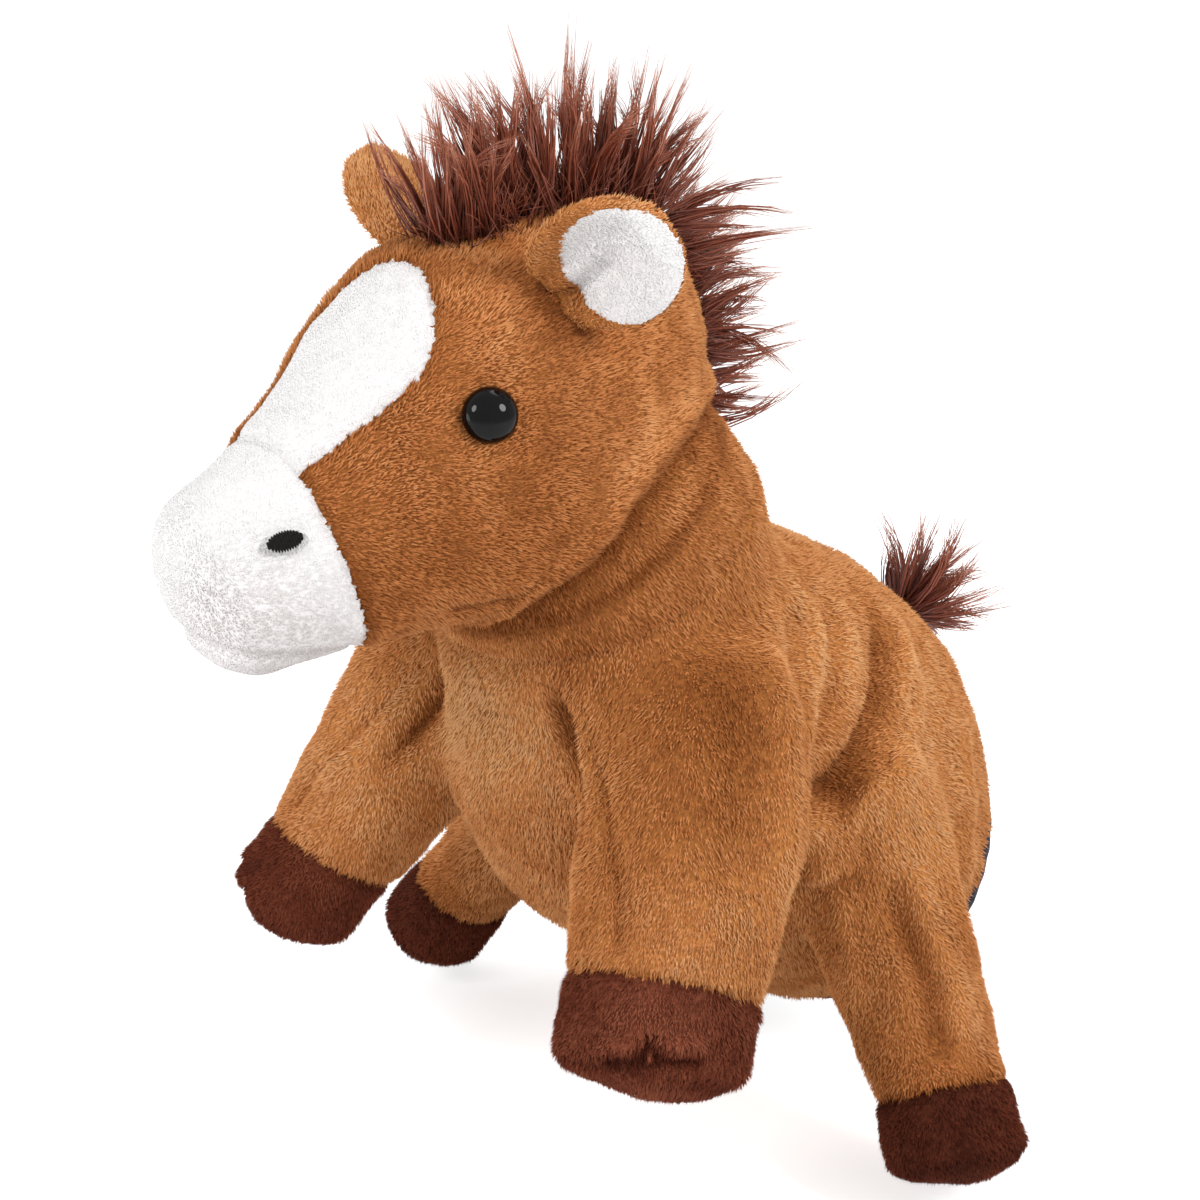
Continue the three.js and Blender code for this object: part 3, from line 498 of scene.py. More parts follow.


# Painted light and shade as soft patches in the pile's colour: painted shade where less light falls, as
# under the muzzle, at the ears' roots and on the shoulder, and painted highlights where more falls, as on
# the flank and the chest; in part they also stand for the pile laid against or along its lie, which looks
# darker or paler: place, reach and shade
paintedLightPatches = [
    ((52, -109, 90), 17, -0.3), ((60, -124, 68), 13, -0.16), ((46, -24, 62), 27, 0.26),
    ((42, -60, 90), 15, 0.45), ((68, -115, 46), 16, 0.24), ((26, -121, 94), 8, -0.3),
    ((5, -119, 76), 19, 0.38), ((60, -60, 40), 10, -0.3), ((64, -48, 42), 15, 0.5), ((88, -56, 6), 14, 0.26),
    ((0, -28, 106), 24, 0.2), ((52, -58, 60), 9, -0.25), ((33, -133, 130), 17, -0.14),
    ((36, -108, 140), 13, 0.16), ((19, -160, 126), 12, -0.14), ((33, -133, 152), 12, -0.08),
    ((20, -138, 176), 14, 0.12), ((-44, -134, 56), 22, 0.34), ((-56, -112, 78), 20, 0.3),
    ((70, -141, 30), 17, 0.3), ((-70, -141, 30), 20, -0.5), ((96, -71, -13), 24, -0.4),
    ((0, -176, 110), 13, -0.3), ((24, -126, 174), 8, -0.35), ((4, -196, 117), 14, -0.26),
    ((13, -182, 116), 13, -0.24)]


# painted shade and highlight at each point, from the patches and their mirror images on the right side
def paintedLightAt(points):
    mirrored = [((-x, y, z), reach, shade) for (x, y, z), reach, shade in paintedLightPatches if x > 0]
    return sum(shade * np.exp(-((points - np.array(place)) ** 2).sum(1) / reach ** 2)
               for place, reach, shade in paintedLightPatches + mirrored)


def addPile(name, points, quads, nap, cloth, density=1.0, length=1.0, lean=1.0, shade=None):
    look, white = pileLook, cloth == "white"
    rng = np.random.default_rng(len(name) * 1000 + len(points))
    # roots spread evenly over the cloth, and what they take from its corners
    triangles = halved(quads)
    a, b, c = (points[triangles[:, k]] for k in range(3))
    area = lengthOf(np.cross(b - a, c - a)) / 2
    count = min(int(area.sum() * look["density"] * density), look["most"])
    pick = np.searchsorted(np.cumsum(area), rng.random(count) * area.sum())
    corners = triangles[np.minimum(pick, len(triangles) - 1)]
    r1, r2 = np.sqrt(rng.random((count, 1))), rng.random((count, 1))
    root, normal, flow, shaded = (
        sum(share * values[corners[:, k]] for k, share in enumerate((1 - r1, r1 * (1 - r2), r1 * r2)))
        for values in (points, normalsOf(points, quads), nap,
                       np.zeros((len(points), 1)) if shade is None else shade[:, None]))
    normal = unit(normal)
    # each tuft leans along the nap, swayed and raised in soft patches and a little by chance
    patch = ripple(root, look["patch"], 3) + 0.6 * ripple(root, 5, 4)
    side = unit(np.cross(normal, flow))
    sway = look["sway"] * ripple(root, 17, 5) + rng.normal(0, look["sway"], count)
    flow = unit(np.cross(side, normal) + side * sway[:, None])
    uneven = 1 + look["leanPatch"] * patch + rng.normal(0, look["leanChance"], count)
    tilt = np.radians(look["lean"] * lean * uneven)
    heading = flow * np.cos(tilt)[:, None] + normal * np.sin(tilt)[:, None]
    uneven = rng.uniform(-look["lengthChance"], look["lengthChance"], count)
    long = look["length"] * length * (1 + look["lengthPatch"] * patch + uneven)[:, None]
    side = unit(np.cross(normal, heading))
    wide = look["width"] * (look["whiteWidth"] if white else 1.0)
    wide = wide * rng.uniform(*look["widthChance"], (count, 1)) / 2
    sunk = root - look["sunk"] * normal
    tips = root + heading * long
    spikes = np.stack([sunk + side * wide, sunk - side * wide, sunk + normal * wide, tips], 1)
    faces = repeated(np.array([[2, 0, 3], [1, 2, 3], [0, 1, 3], [1, 0, 2]]), count, 4)
    # the tone: random patches, painted light and shade, the cloth's painted shade and seams, and a tuft's own
    paintedLit, shaded = paintedLightAt(root), shaded[:, 0]
    tone = look["tone"] + look["patchy"] * patch + paintedLit + shaded
    tone = tone - np.abs(rng.normal(0, look["scatter"], count))
    if white:
        # the white pile takes only the painted shade of the patches, not their painted highlights
        base, patches, paintedShadeShare, creases = look["whiteTone"]
        tone = base + patches * tone + paintedShadeShare * np.minimum(0, paintedLit) + creases * shaded
    values = dict(tone=np.repeat(np.clip(tone, 0, 1), 4), tip=np.tile(look["rootTips"], count))
    piece = newPiece(name, spikes.reshape(-1, 3), faces, plush[cloth]["pile"], values)
    return piece


def addCloth(name, points, quads, material, thickness, tone=None):
    # the faces' own points only, with a wall of the given thickness added inwards
    used, faces = np.unique(quads, return_inverse=True)
    values = None if tone is None else dict(tone=tone[used])
    piece = newPiece(name, points[used], faces.reshape(quads.shape), material, values)
    wall = piece.modifiers.new("wall", "SOLIDIFY")
    wall.thickness, wall.offset = thickness * mm, -1
    return piece


# A panel of plush: its ground cloth, its pile, and what both follow
def addPanel(node, points, quads, nap, cloth, follow, density=1.0, length=1.0, fill=None, lean=1.0,
             shade=None):
    # the ground cloth's tone carries the same painted light and shade as its pile
    tone = np.clip(0.5 + paintedLightAt(points) + (0 if shade is None else shade), 0, 1)
    tone = 0.85 + 0.15 * tone if cloth == "white" else tone
    ground = addCloth(node + "_cloth", points, quads, plush[cloth]["ground"], pileLook["ground"], tone)
    dress(ground, node, follow)
    follow(addPile(node + "_pile", points, quads, nap, cloth, density, length, lean, shade))


def rides(body):
    return lambda piece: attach(piece, body)


# Glove body and legs, as the frame's stations in millimetres
neck = dict(
    pivot=(0, -94, 116), radius=40, lean=45, low=-34, high=38, throat=14, clearance=0.5, hug=1.5, dip=1.5,
    ease=1.6, lining=4.4, creaseDepth=0.4, creaseWidth=2.0, pressed=0.3,
    # turn from the side and height over the ball's equator: the body's rim, and the crease in the collar
    rim=[(-90, -20), (-70, -18), (-50, -13), (-30, -8), (-10, -7), (10, -4), (30, 0), (50, 5), (70, 9),
         (90, 11)],
    crease=[(-90, -5), (-60, 1), (-27, 10), (0, 14), (23, 16), (58, 20), (90, 18)])
leftward = np.array([1.0, 0, 0])
mirror = np.array([-1.0, 1, 1])
sides = ((1, "left"), (-1, "right"))
neckCentre = np.array(neck["pivot"], float)
neckLean = math.radians(neck["lean"])
neckAxis = np.array([0, -math.sin(neckLean), math.cos(neckLean)])
neckFront = np.cross(leftward, neckAxis)
body = dict(
    stations=[[0, 0, 0, 44, 36, 49], [0, -22, 22, 51, 44.5, 60.5], [0, -43, 43.5, 52, 53, 59.5],
              [0, -63, 62, 50, 58.5, 53.5], [0, -78, 79, 46, 53, 46.5], [0, -88, 97, 40, 42, 42.5],
              [0, -94, 115, 37, 38, 39.5]],
    bellyWidth=44, bellyInset=8, cuffWidth=6, mesh=1.5, drape=150, lift=1.2, pale=0.14,
    seamWidth=1.4, hoofSeam=0.9, soleSeam=0.8, settle=4, waves=[(0.5, 24, 11), (0.25, 9, 12)],
    # heights and distances from the middle over which the cloth starts to drape
    shoulderHeight=(46, 74), shoulderWidth=(14, 30), hipHeight=34, hipReach=15, hipWidth=(26, 40),
    hipShare=0.6)
frontLeg = dict(
    stations=[[34, -90, 94, 1, 1, 1], [37, -92, 88, 16, 16, 16], [41, -96, 78, 24, 22, 22],
              [47, -107, 54, 25, 20, 22], [55, -123, 31, 23, 17, 18], [59, -131, 20.5, 22, 15.5, 16],
              [61.8, -135, 11.5, 20.5, 13.5, 14], [62.8, -137, 8, 1, 1, 1]],
    side=(0.6, 0.8, 0), hoof=24, sole=4, bendFrom=(50, -113.5, 44), bendTo=(58, -129, 22), reach=34,
    skin="sleeve", fill=0.45)
hindLeg = dict(
    stations=[[38, -44, 54, 1, 1, 1], [42, -44, 48, 18, 18, 18], [50, -46, 32, 22, 16, 16],
              [65, -51, 10, 19, 14, 14], [79, -56.5, -7.5, 16, 13, 13], [89.5, -61, -22, 17, 14, 14],
              [92.8, -62.3, -27, 15.5, 12.5, 12.5], [94.4, -63, -29.8, 1, 1, 1]],
    side=(0.3, 1, 0), hoof=21.5, sole=4, bendFrom=(61, -49.5, 16), bendTo=(74, -55, -2), reach=30,
    skin="skin", fill=0.6)
bodyForm = StuffedForm(body["stations"], leftward)
frontLegForm = StuffedForm(frontLeg["stations"], frontLeg["side"])
hindLegForm = StuffedForm(hindLeg["stations"], hindLeg["side"])


def bodyGrid(rows=90, columns=120, past=10, lift=0.0):
    # the body's tube with a straight run past both ends
    grid = bodyForm.grid(rows, columns, lift)
    _, _, tangent, _, _ = bodyForm.frame(np.array([0.0, 1.0]))
    return np.concatenate([grid[:1] - past * tangent[0], grid, grid[-1:] + past * tangent[1]])


def flipped(grid):
    # the mirror image of a tube, with its columns reversed so that it still faces outwards
    return (grid * mirror)[:, ::-1]


def buildSurface():
    legGrids = [frontLegForm.grid(70, 60), hindLegForm.grid(70, 60)]
    points, quads = felted([bodyGrid()] + legGrids + [flipped(grid) for grid in legGrids], body["mesh"])
    edges = edgesOf(quads)
    points = relaxed(points, edges, 0.5, body["settle"])
    # the cloth drapes from the shoulders, and from the hips a little less
    wide, high = np.abs(points[:, :1]), points[:, 2:3]
    shoulders = smooth(*body["shoulderHeight"], high) * smooth(*body["shoulderWidth"], wide)
    hips = body["hipShare"] * bell(high - body["hipHeight"], body["hipReach"])
    hips = hips * smooth(*body["hipWidth"], wide)
    points = relaxed(points, edges, 0.5 * np.maximum(shoulders, hips), body["drape"])
    points = points + body["lift"] * shoulders * normalsOf(points, quads)
    print("body surface:", len(points), "points")
    return points, quads


skinPoints, skinQuads = buildSurface()

# Body folds, as lines on the cloth in millimetres; the right side's are their mirror images
bodyFolds = [
    # the seam that runs from the neck down the front of the leg
    dict(line=[(20, -126, 98), (22, -122, 91), (27, -119, 82), (32, -121, 75), (40, -127, 66),
               (53, -136, 50), (57, -141, 39)], depth=2.0, width=2.0, fadeOut=0.1),
    # the pocket under the arm, with a painted shadow where the arm overhangs the chest
    dict(line=[(19, -123, 96), (19, -119, 85), (22, -118, 76), (27, -121, 67), (33, -127, 58),
               (36, -131, 51)], depth=4.6, width=3.0, fadeIn=0.3, fadeOut=0.4, ridge=1.6, dark=0.3),
    # the leg's rear fold, and the hollow in front of it
    dict(line=[(42, -74, 95), (57, -89, 90), (66, -96, 74), (70, -102, 56), (73, -108, 40)],
         depth=-2.4, width=4.2),
    dict(line=[(45, -92, 97), (60, -105, 83), (67, -112, 66), (70, -118, 48)], depth=2.2, width=7.0),
    # the flank's slanting crease, with the ridge behind it and a little painted shadow in it
    dict(line=[(31, -28, 91), (39, -32, 81), (45, -42, 72), (48, -51, 64), (52, -63, 57), (58, -78, 54)],
         depth=5.4, width=4.2, ridge=3.6, dark=0.12),
    # a second, lower crease beside it, and the soft folds behind the front leg
    dict(line=[(44, -28, 78), (49, -33, 69), (55, -44, 63), (60, -56, 56)], depth=2.6, width=3.2, ridge=1.6),
    dict(line=[(36, -58, 99), (44, -68, 93), (52, -75, 84), (58, -84, 73)], depth=2.6, width=3.6, ridge=1.8),
    dict(line=[(33, -46, 97), (41, -54, 89), (48, -62, 78), (53, -72, 68)], depth=2.0, width=3.2, ridge=1.5),
    # the crease and the ridge down the thigh
    dict(line=[(62, -54, 40), (68, -57, 28), (78, -58, 13), (89, -65, -3)], depth=3.0, width=3.4, ridge=2.4),
    # the hind leg's front edge
    dict(line=[(54, -66, 36), (61, -68, 20), (68, -70, 4)], depth=-1.6, width=3.0),
    # the upright ridge beside the hand opening
    dict(line=[(42, -3, 60), (48, -8, 40), (49, -8, 24), (46, -5, 10)], depth=-2.2, width=4.5),
    # the sole's pucker: a dimple with a crease to each side and the lobe under them, all with painted shadow
    dict(line=[(69, -142, 27), (70, -143, 22)], depth=3.4, width=3.0, fadeIn=0.01, fadeOut=0.01, dark=0.5),
    dict(line=[(70, -143, 24), (66, -146, 21), (60, -150, 20)],
         depth=2.0, width=1.9, ridge=2.2, side=-1, fadeIn=0.01, dark=0.5),
    dict(line=[(70, -143, 24), (75, -140, 21), (80, -133, 21)],
         depth=2.0, width=1.9, ridge=2.2, fadeIn=0.01, dark=0.5)]


def bodyNap():
    # the pile lies from the neck towards the tail on the body and down each leg, weighed by nearness
    flow, far = bodyForm.nap(skinPoints)
    weight = np.exp(-6 * (far - 1))[:, None]
    total = -flow * weight
    for form in (frontLegForm, hindLegForm):
        for turn in (np.ones(3), mirror):
            legFlow, legFar = form.nap(skinPoints * turn)
            weight = np.exp(-6 * (legFar - 1))[:, None]
            total = total + legFlow * turn * weight
    return unit(total + np.array([0, 0, -0.2]))


def bellyField(points):
    # above zero in the belly panel: in front of the body's curve by the inset, and within the panel's width
    samples = np.linspace(0, 1, 30)
    centre, _, _, _, front = bodyForm.frame(samples)
    nearest = np.abs((points[:, None, 1:] - centre[None, :, 1:]) ** 2).sum(2).argmin(1)
    ahead = ((points - centre[nearest]) * front[nearest])[:, 1:].sum(1) - body["bellyInset"]
    return np.minimum(ahead, body["bellyWidth"] / 2 - np.abs(points[:, 0]))


def bendField(leg, turn, points):
    # above zero past the plane where a leg starts to bend
    start, end = np.array(leg["bendFrom"], float), np.array(leg["bendTo"], float)
    return (points * turn - start) @ unit(end - start)


def endField(form, depth, turn, points):
    # above zero within the given depth of a leg's end
    centre, _, tangent, _, _ = form.frame(np.array(1.0))
    return (points * turn - centre + depth * tangent) @ tangent


legs = [(name, leg, form, side, np.ones(3) if side == "left" else mirror)
        for name, leg, form in (("front_leg", frontLeg, frontLegForm), ("hind_leg", hindLeg, hindLegForm))
        for side in ("left", "right")]


def inLeg(leg, form, turn, points):
    centre = form.along(np.linspace(0.3, 1, 30))[:, :3]
    near = lengthOf(points[:, None] * turn - centre[None]).min(1) < leg["reach"]
    return (bendField(leg, turn, points) > 0) & near


seamDark = 0.22


def groove(points, shade, quads, value, depth, width):
    # a sewn seam: the cloth dips along the line where value is zero, and its pile parts there
    dip = bell(value, width)
    return points - (depth * dip)[:, None] * normalsOf(points, quads), shade - seamDark * dip


def roundNeck(points):
    # offset and distance from the neck's pivot; degrees over its equator, and from its side to its front
    offset = points - neckCentre
    far = np.maximum(lengthOf(offset), 1e-6)
    height = np.degrees(np.arcsin(np.clip(offset @ neckAxis / far, -1, 1)))
    return offset, far, height, np.degrees(np.arctan2(offset @ neckFront, np.abs(offset[:, 0])))


def belowRim(points):
    # above zero below the body's rim round the neck, as millimetres on the ball
    _, _, height, turn = roundNeck(points)
    rim = np.interp(turn, *zip(*neck["rim"]))
    return (rim - height) * math.radians(1) * neck["radius"]


def hugged(points):
    # cloth inside the neck's ball is drawn out onto it, dips under the collar at its rim and eases into
    # the shoulders
    offset, far, _, _ = roundNeck(points)
    ball = neck["radius"] - neck["dip"] + (neck["hug"] + neck["dip"]) * smooth(-0.5, 3.5, belowRim(points))
    ease = neck["ease"]
    drawn = ball + ease * np.logaddexp(0, (far - ball) / ease) * smooth(-0.5, 6.5, belowRim(points))
    return neckCentre + offset * (drawn / far)[:, None]


def cuffPlane():
    # the hand opening's middle, and the body's direction there
    mouth, _, axis, _, _ = bodyForm.frame(np.array(0.0))
    return mouth, axis


def keptSkin(points):
    # the body's cloth between the binding and the neck's rim
    mouth, axis = cuffPlane()
    return ((points - mouth) @ axis > body["cuffWidth"] - 1) & (belowRim(points) > 0)


def shapeSkin():
    mirrored = [dict(fold, line=[(-x, y, z) for x, y, z in fold["line"]], side=-fold.get("side", 1))
                for fold in bodyFolds]
    points, shade = folded(skinPoints, skinQuads, bodyFolds + mirrored)
    shade += body["pale"]
    points = wavy(points, normalsOf(points, skinQuads), body["waves"])
    mouth, axis = cuffPlane()
    points = snapped(points, lambda p: (p - mouth) @ axis - body["cuffWidth"] + 1, 0.7)
    points = snapped(hugged(points), belowRim, 0.8)
    for _, leg, form, _, turn in legs:
        for depth, sink in ((leg["hoof"], body["hoofSeam"]), (leg["sole"], body["soleSeam"])):
            near = inLeg(leg, form, turn, points)
            value = np.where(near, endField(form, depth, turn, points), 99)
            points, shade = groove(points, shade, skinQuads, value, sink, body["seamWidth"])
    return points, shade


skinPoints, skinShade = shapeSkin()
skinNap = bodyNap()


def bends():
    return lambda piece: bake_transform(piece)


def addSkin(node, mask, cloth, follow, **settings):
    addPanel(node, skinPoints, skinQuads[mask], skinNap, cloth, follow, shade=skinShade, **settings)


def buildBody():
    middle = skinPoints[skinQuads].mean(1)
    keep = keptSkin(middle)
    for name, leg, form, side, turn in legs:
        inside = inLeg(leg, form, turn, middle)
        keep &= ~inside
        sole = endField(form, leg["sole"], turn, middle) > 0
        hoof = (endField(form, leg["hoof"], turn, middle) > 0) & ~sole
        parts = ((leg["skin"], ~hoof & ~sole, "tan", leg["fill"]), ("hoof", hoof, "hoof", leg["fill"]),
                 ("sole", sole, "hoof", None))
        for part, mask, cloth, fill in parts:
            addSkin(f"{name}_{side}_{part}", inside & mask, cloth, bends(),
                    density=1.15, length=0.9, fill=fill)
    belly, left = bellyField(middle) > 0, middle[:, 0] > 0
    addSkin("belly_panel", keep & belly, "tan", rides("torso"))
    addSkin("side_panel_left", keep & ~belly & left, "tan", rides("torso"))
    addSkin("side_panel_right", keep & ~belly & ~left, "tan", rides("torso"))
    print("body and legs made")


buildBody()


# Linings and filling
def addLining(node, grid, follow, wall=1.0):
    points, quads, _ = capped(grid)
    dress(addCloth(node + "_cloth", points, quads, liningCloth, wall), node, follow)


def addFilling(node, grid, follow):
    wad = dress(newPiece(node + "_wad", *closedTube(grid), fibre), node, follow)


def lumpy(grid, size, depth, seed):
    # the filling's soft lumps: each point is moved out from its ring's middle by a little noise
    centre = grid.mean(1, keepdims=True)
    flat = grid.reshape(-1, 3)
    return grid + unit(grid - centre) * (depth * ripple(flat, size, seed)).reshape(grid.shape[:2])[..., None]


# Inner shapes: rows, columns, lift in mm and stretch of the form; then their lumps' size, depth and seed
inner = dict(
    glove=((50, 72, -6.5), (16, 0.5, 21)), sleeve=((30, 32, -6.0, 0.14, 0.82), (12, 0.4, 22)),
    hoof=((16, 28, -7.0, 0.84, 0.93), (7, 0.4, 23)), leg=((40, 32, -4.6, 0.1, 0.94), (9, 0.6, 24)),
    head=((60, 64, -5.0, 0.13, 0.86), (12, 0.6, 33)))


def innerGrid(form, name):
    shape, lumps = inner[name]
    return lumpy(form.grid(*shape), *lumps)


def buildLining():
    addLining("glove_lining", innerGrid(bodyForm, "glove"), rides("torso"))
    for name, leg, form, side, turn in legs:
        follow = bends()
        onSide = flipped if side == "right" else np.asarray
        if name == "front_leg":
            addLining(f"{name}_{side}_lining", onSide(innerGrid(form, "sleeve")), follow)
            addFilling(f"{name}_{side}_hoof_stuffing", onSide(innerGrid(form, "hoof")), follow)
        else:
            addFilling(f"{name}_{side}_stuffing", onSide(innerGrid(form, "leg")), follow)
    print("lining and filling made")


buildLining()

# Binding tape folded round the edge of the hand opening, 40 puckers round it
cuff = dict(columns=120, steps=14, thick=2.6, square=0.6, inset=2.1, puckers=40, puckerDepth=0.25)


def buildCuff():
    columns, steps = cuff["columns"], cuff["steps"]
    angle = 360 * np.arange(columns) / columns
    ring = bodyForm.surface(np.zeros(columns), angle)
    _, axis = cuffPlane()
    centre = ring.mean(0)
    out = unit(ring - centre - (ring - centre) @ axis[:, None] * axis)
    # a rounded bar in section: half a turn of tape outside, half inside, its width along the body's axis
    turn = np.linspace(0, 2 * math.pi, steps, endpoint=False)[:, None, None]
    wide = body["cuffWidth"] / 2 + 0.6
    across = np.sign(np.cos(turn)) * np.abs(np.cos(turn)) ** cuff["square"] * cuff["thick"]
    puckers = cuff["puckerDepth"] * np.sin(np.radians(angle * cuff["puckers"]))[None, :, None]
    middle = ring - out * cuff["inset"] + axis * (body["cuffWidth"] / 2)
    grid = middle[None] + out[None] * (across + puckers * np.cos(turn)) + axis * (np.sin(turn) * wide)
    j = np.arange(columns)
    k, last = (j + 1) % columns, (steps - 1) * columns
    faces = np.vstack([gridFaces(steps, columns), np.stack([last + j, last + k, k, j], -1)])
    piece = newPiece("cuff_binding_tape", grid.reshape(-1, 3), faces[:, ::-1], bindingCloth)
    dress(piece, "cuff_binding", rides("torso"))
    print("cuff made")


buildCuff()


def ringTurn(columns):
    return np.radians(360 * np.arange(columns) / columns)[None, :, None]


# Neck: a zone of a ball about the neck's pivot, with its lining
def buildNeck():
    rows, columns = 72, 180
    # the upper edge stands higher in front, so that the throat stays covered as the head nods up
    turn = ringTurn(columns)
    high = neck["high"] + neck["throat"] * smooth(0, 0.7, np.sin(turn))
    latitude = np.radians(neck["low"] + (high - neck["low"]) * np.linspace(0, 1, rows)[:, None, None])
    level = np.cos(turn) * leftward + np.sin(turn) * neckFront
    heading = level * np.cos(latitude) + neckAxis * np.sin(latitude)
    ball = (neckCentre + heading * neck["radius"]).reshape(-1, 3)
    _, _, height, around = roundNeck(ball)
    above = (height - np.interp(around, *zip(*neck["crease"]))) * math.radians(1) * neck["radius"]
    sunk = neck["creaseDepth"] * bell(above, neck["creaseWidth"])
    sunk = sunk + neck["pressed"] * (1 + ripple(ball, 15, 41)) * smooth(-8, 0, above)
    points = ball - unit(ball - neckCentre) * sunk[:, None]
    quads = gridFaces(rows, columns)[:, ::-1]
    nap = np.broadcast_to(-neckAxis, points.shape)
    # painted shade: the collar's pile is darker under the body's rim, where it is also pressed flat, and
    # where the head's rim overhangs it
    rim = headRim()
    gap = np.concatenate([lengthOf(part[:, None] - rim[None]).min(1)
                          for part in np.array_split(points, 24)])
    shade = -0.35 * bell(above - 1.5, 2.2) - 0.5 * bell(gap, 4.5)
    addPanel("neck_collar", points, quads, nap, "tan", rides("neck"), density=0.76, length=0.95, shade=shade)
    lining = neckCentre + heading[::3, ::3] * (neck["radius"] - neck["lining"])
    addLining("neck_lining", lining, rides("neck"))
    print("neck made")


# Head, in its own frame looking straight ahead, then turned about the neck's pivot
head = dict(
    stations=[[0, -69, 165, 1, 1, 1], [0, -72, 164, 14, 19, 19], [0, -81, 162, 25, 33, 30],
              [0, -96, 157, 33, 42, 38], [0, -117, 145, 39, 47, 47], [0, -138, 134, 37, 35, 43],
              [0, -158, 126, 30, 25, 34], [0, -176, 121, 27, 21, 25], [0, -190, 118, 23, 18, 20],
              [0, -196.5, 116.8, 14, 11.5, 12.5], [0, -199, 116.3, 1, 1, 1]],
    fullness=2.1, turn=-9.5, mesh=1.3, roll=2.8, tuck=1.1, settle=6, fill=0.85,
    waves=[(0.45, 26, 31), (0.2, 10, 32)],
    muzzleLine=(0, -170.5, 127.9), muzzleTilt=19, muzzleBow=0.0035, mouthLine=(0, -185, 107), mouthTilt=8,
    # the blaze's half widths at distances down from its top, which lies a little to the left
    blazeTop=(0, -133, 185), blazeTilt=45.5, blazeShift=5.5,
    blaze=[[0, 8], [6, 9], [12, 14], [17, 21], [19, 29], [17, 40], [15.3, 48], [13.5, 62], [14, 84]],
    # each seam's depth and width
    muzzleSeam=(0.9, 1.4), blazeSeam=(0.7, 1.2), jawSeam=(0.6, 1.2), mouthSeam=(1.2, 1.7),
    jawWidth=26, jawLine=[[-60, 120], [-120, 120], [-170, 118], [-230, 112]])
headForm = StuffedForm(head["stations"], leftward, head["fullness"])
turned = math.radians(head["turn"])
headTurn = np.array([[math.cos(turned), -math.sin(turned), 0],
                     [math.sin(turned), math.cos(turned), 0], [0, 0, 1]])


def toFrame(points):
    return (points - neckCentre) @ headTurn.T + neckCentre


def headRim():
    # where the head's surface meets the ball that it turns on
    points = toFrame(headForm.grid(220, 220).reshape(-1, 3))
    return points[np.abs(lengthOf(points - neckCentre) - neck["radius"] - 1) < 0.5][::3]


def tiltedField(point, tilt, alongY, points):
    # above zero in front of, or below, a plane across the head that leans by tilt
    lean = math.radians(tilt)
    y, z = (math.cos(lean), math.sin(lean)) if alongY else (math.sin(lean), math.cos(lean))
    return (points - np.array(point)) @ np.array([0, -y, -z])


def muzzleField(points):
    plane = tiltedField(head["muzzleLine"], head["muzzleTilt"], True, points)
    # the seam bows towards the nose on the cheeks, where the white cloth is cut round
    return plane - head["muzzleBow"] * (points[:, 0] ** 2)


def chinField(points):
    return tiltedField(head["mouthLine"], head["mouthTilt"], False, points)


def partingShift(s):
    # how far left the blaze and the parting lie, at distance s down from the blaze's top
    return head["blazeShift"] * bell(s - 14, 36)


def blazeField(points):
    # the strip's half width at this distance down the face, less the distance from the middle
    tilt = math.radians(head["blazeTilt"])
    down = np.array([0, -math.cos(tilt), -math.sin(tilt)])
    out = np.cross(leftward, down)
    offset = points - np.array(head["blazeTop"])
    s = offset @ down
    x = np.abs(offset[:, 0] - partingShift(s))
    outline = np.array(head["blaze"], float)
    fine = np.linspace(0, 1, 80)
    ends = StuffedForm([[w, a, 0, 1, 1, 1] for w, a in outline], (0, 0, 1)).along(fine)
    corner = np.minimum(np.hypot(x[:, None] - ends[None, :, 0], s[:, None] - ends[None, :, 1]).min(1), 30)
    half = np.interp(s, ends[:, 1], ends[:, 0])
    inside = (x < half) & (s > outline[0, 1]) & (np.abs(offset @ out) < 45)
    return np.where(inside, corner, -corner)


def jawField(points):
    line = np.array(head["jawLine"], float)[::-1]
    below = np.interp(points[:, 1], line[:, 0], line[:, 1]) - points[:, 2]
    return np.minimum(below, head["jawWidth"] / 2 - np.abs(points[:, 0]))


def pastBall(points):
    # distance outside the ball that the head turns on
    return lengthOf(points - neckCentre) - neck["radius"] - neck["clearance"]


eye = dict(along=0.47, round=332.5, diameter=12, height=4.4, sink=1.6, hollow=8.5, stemRadius=1.8,
           stemDepth=12, flangeDepth=0.9, tip=0.02)
nostril = dict(along=0.735, round=325, length=7.6, width=4.6, height=1.1, slant=14, threads=13, sink=0.8,
               hollow=5, pad=0.2, threadShare=0.62)
# the jaw's crease, on each side, with painted shadow in it
headFolds = [
    dict(line=[(x * 22, -150, 116), (x * 25, -138, 113), (x * 27, -128, 114)], depth=1.6, width=2.2, side=x,
         dark=0.2) for x, _ in sides]


def seatOf(form, place):
    # the point at this share along the form and turn round it, and the outward normal there
    t, a = place["along"], place["round"]
    point, ahead, behind, after, before = (
        form.surface(np.array(t + dt), np.array(a + da))
        for dt, da in ((0, 0), (0.02, 0), (-0.02, 0), (0, 4), (0, -4)))
    return point, unit(np.cross(ahead - behind, after - before))


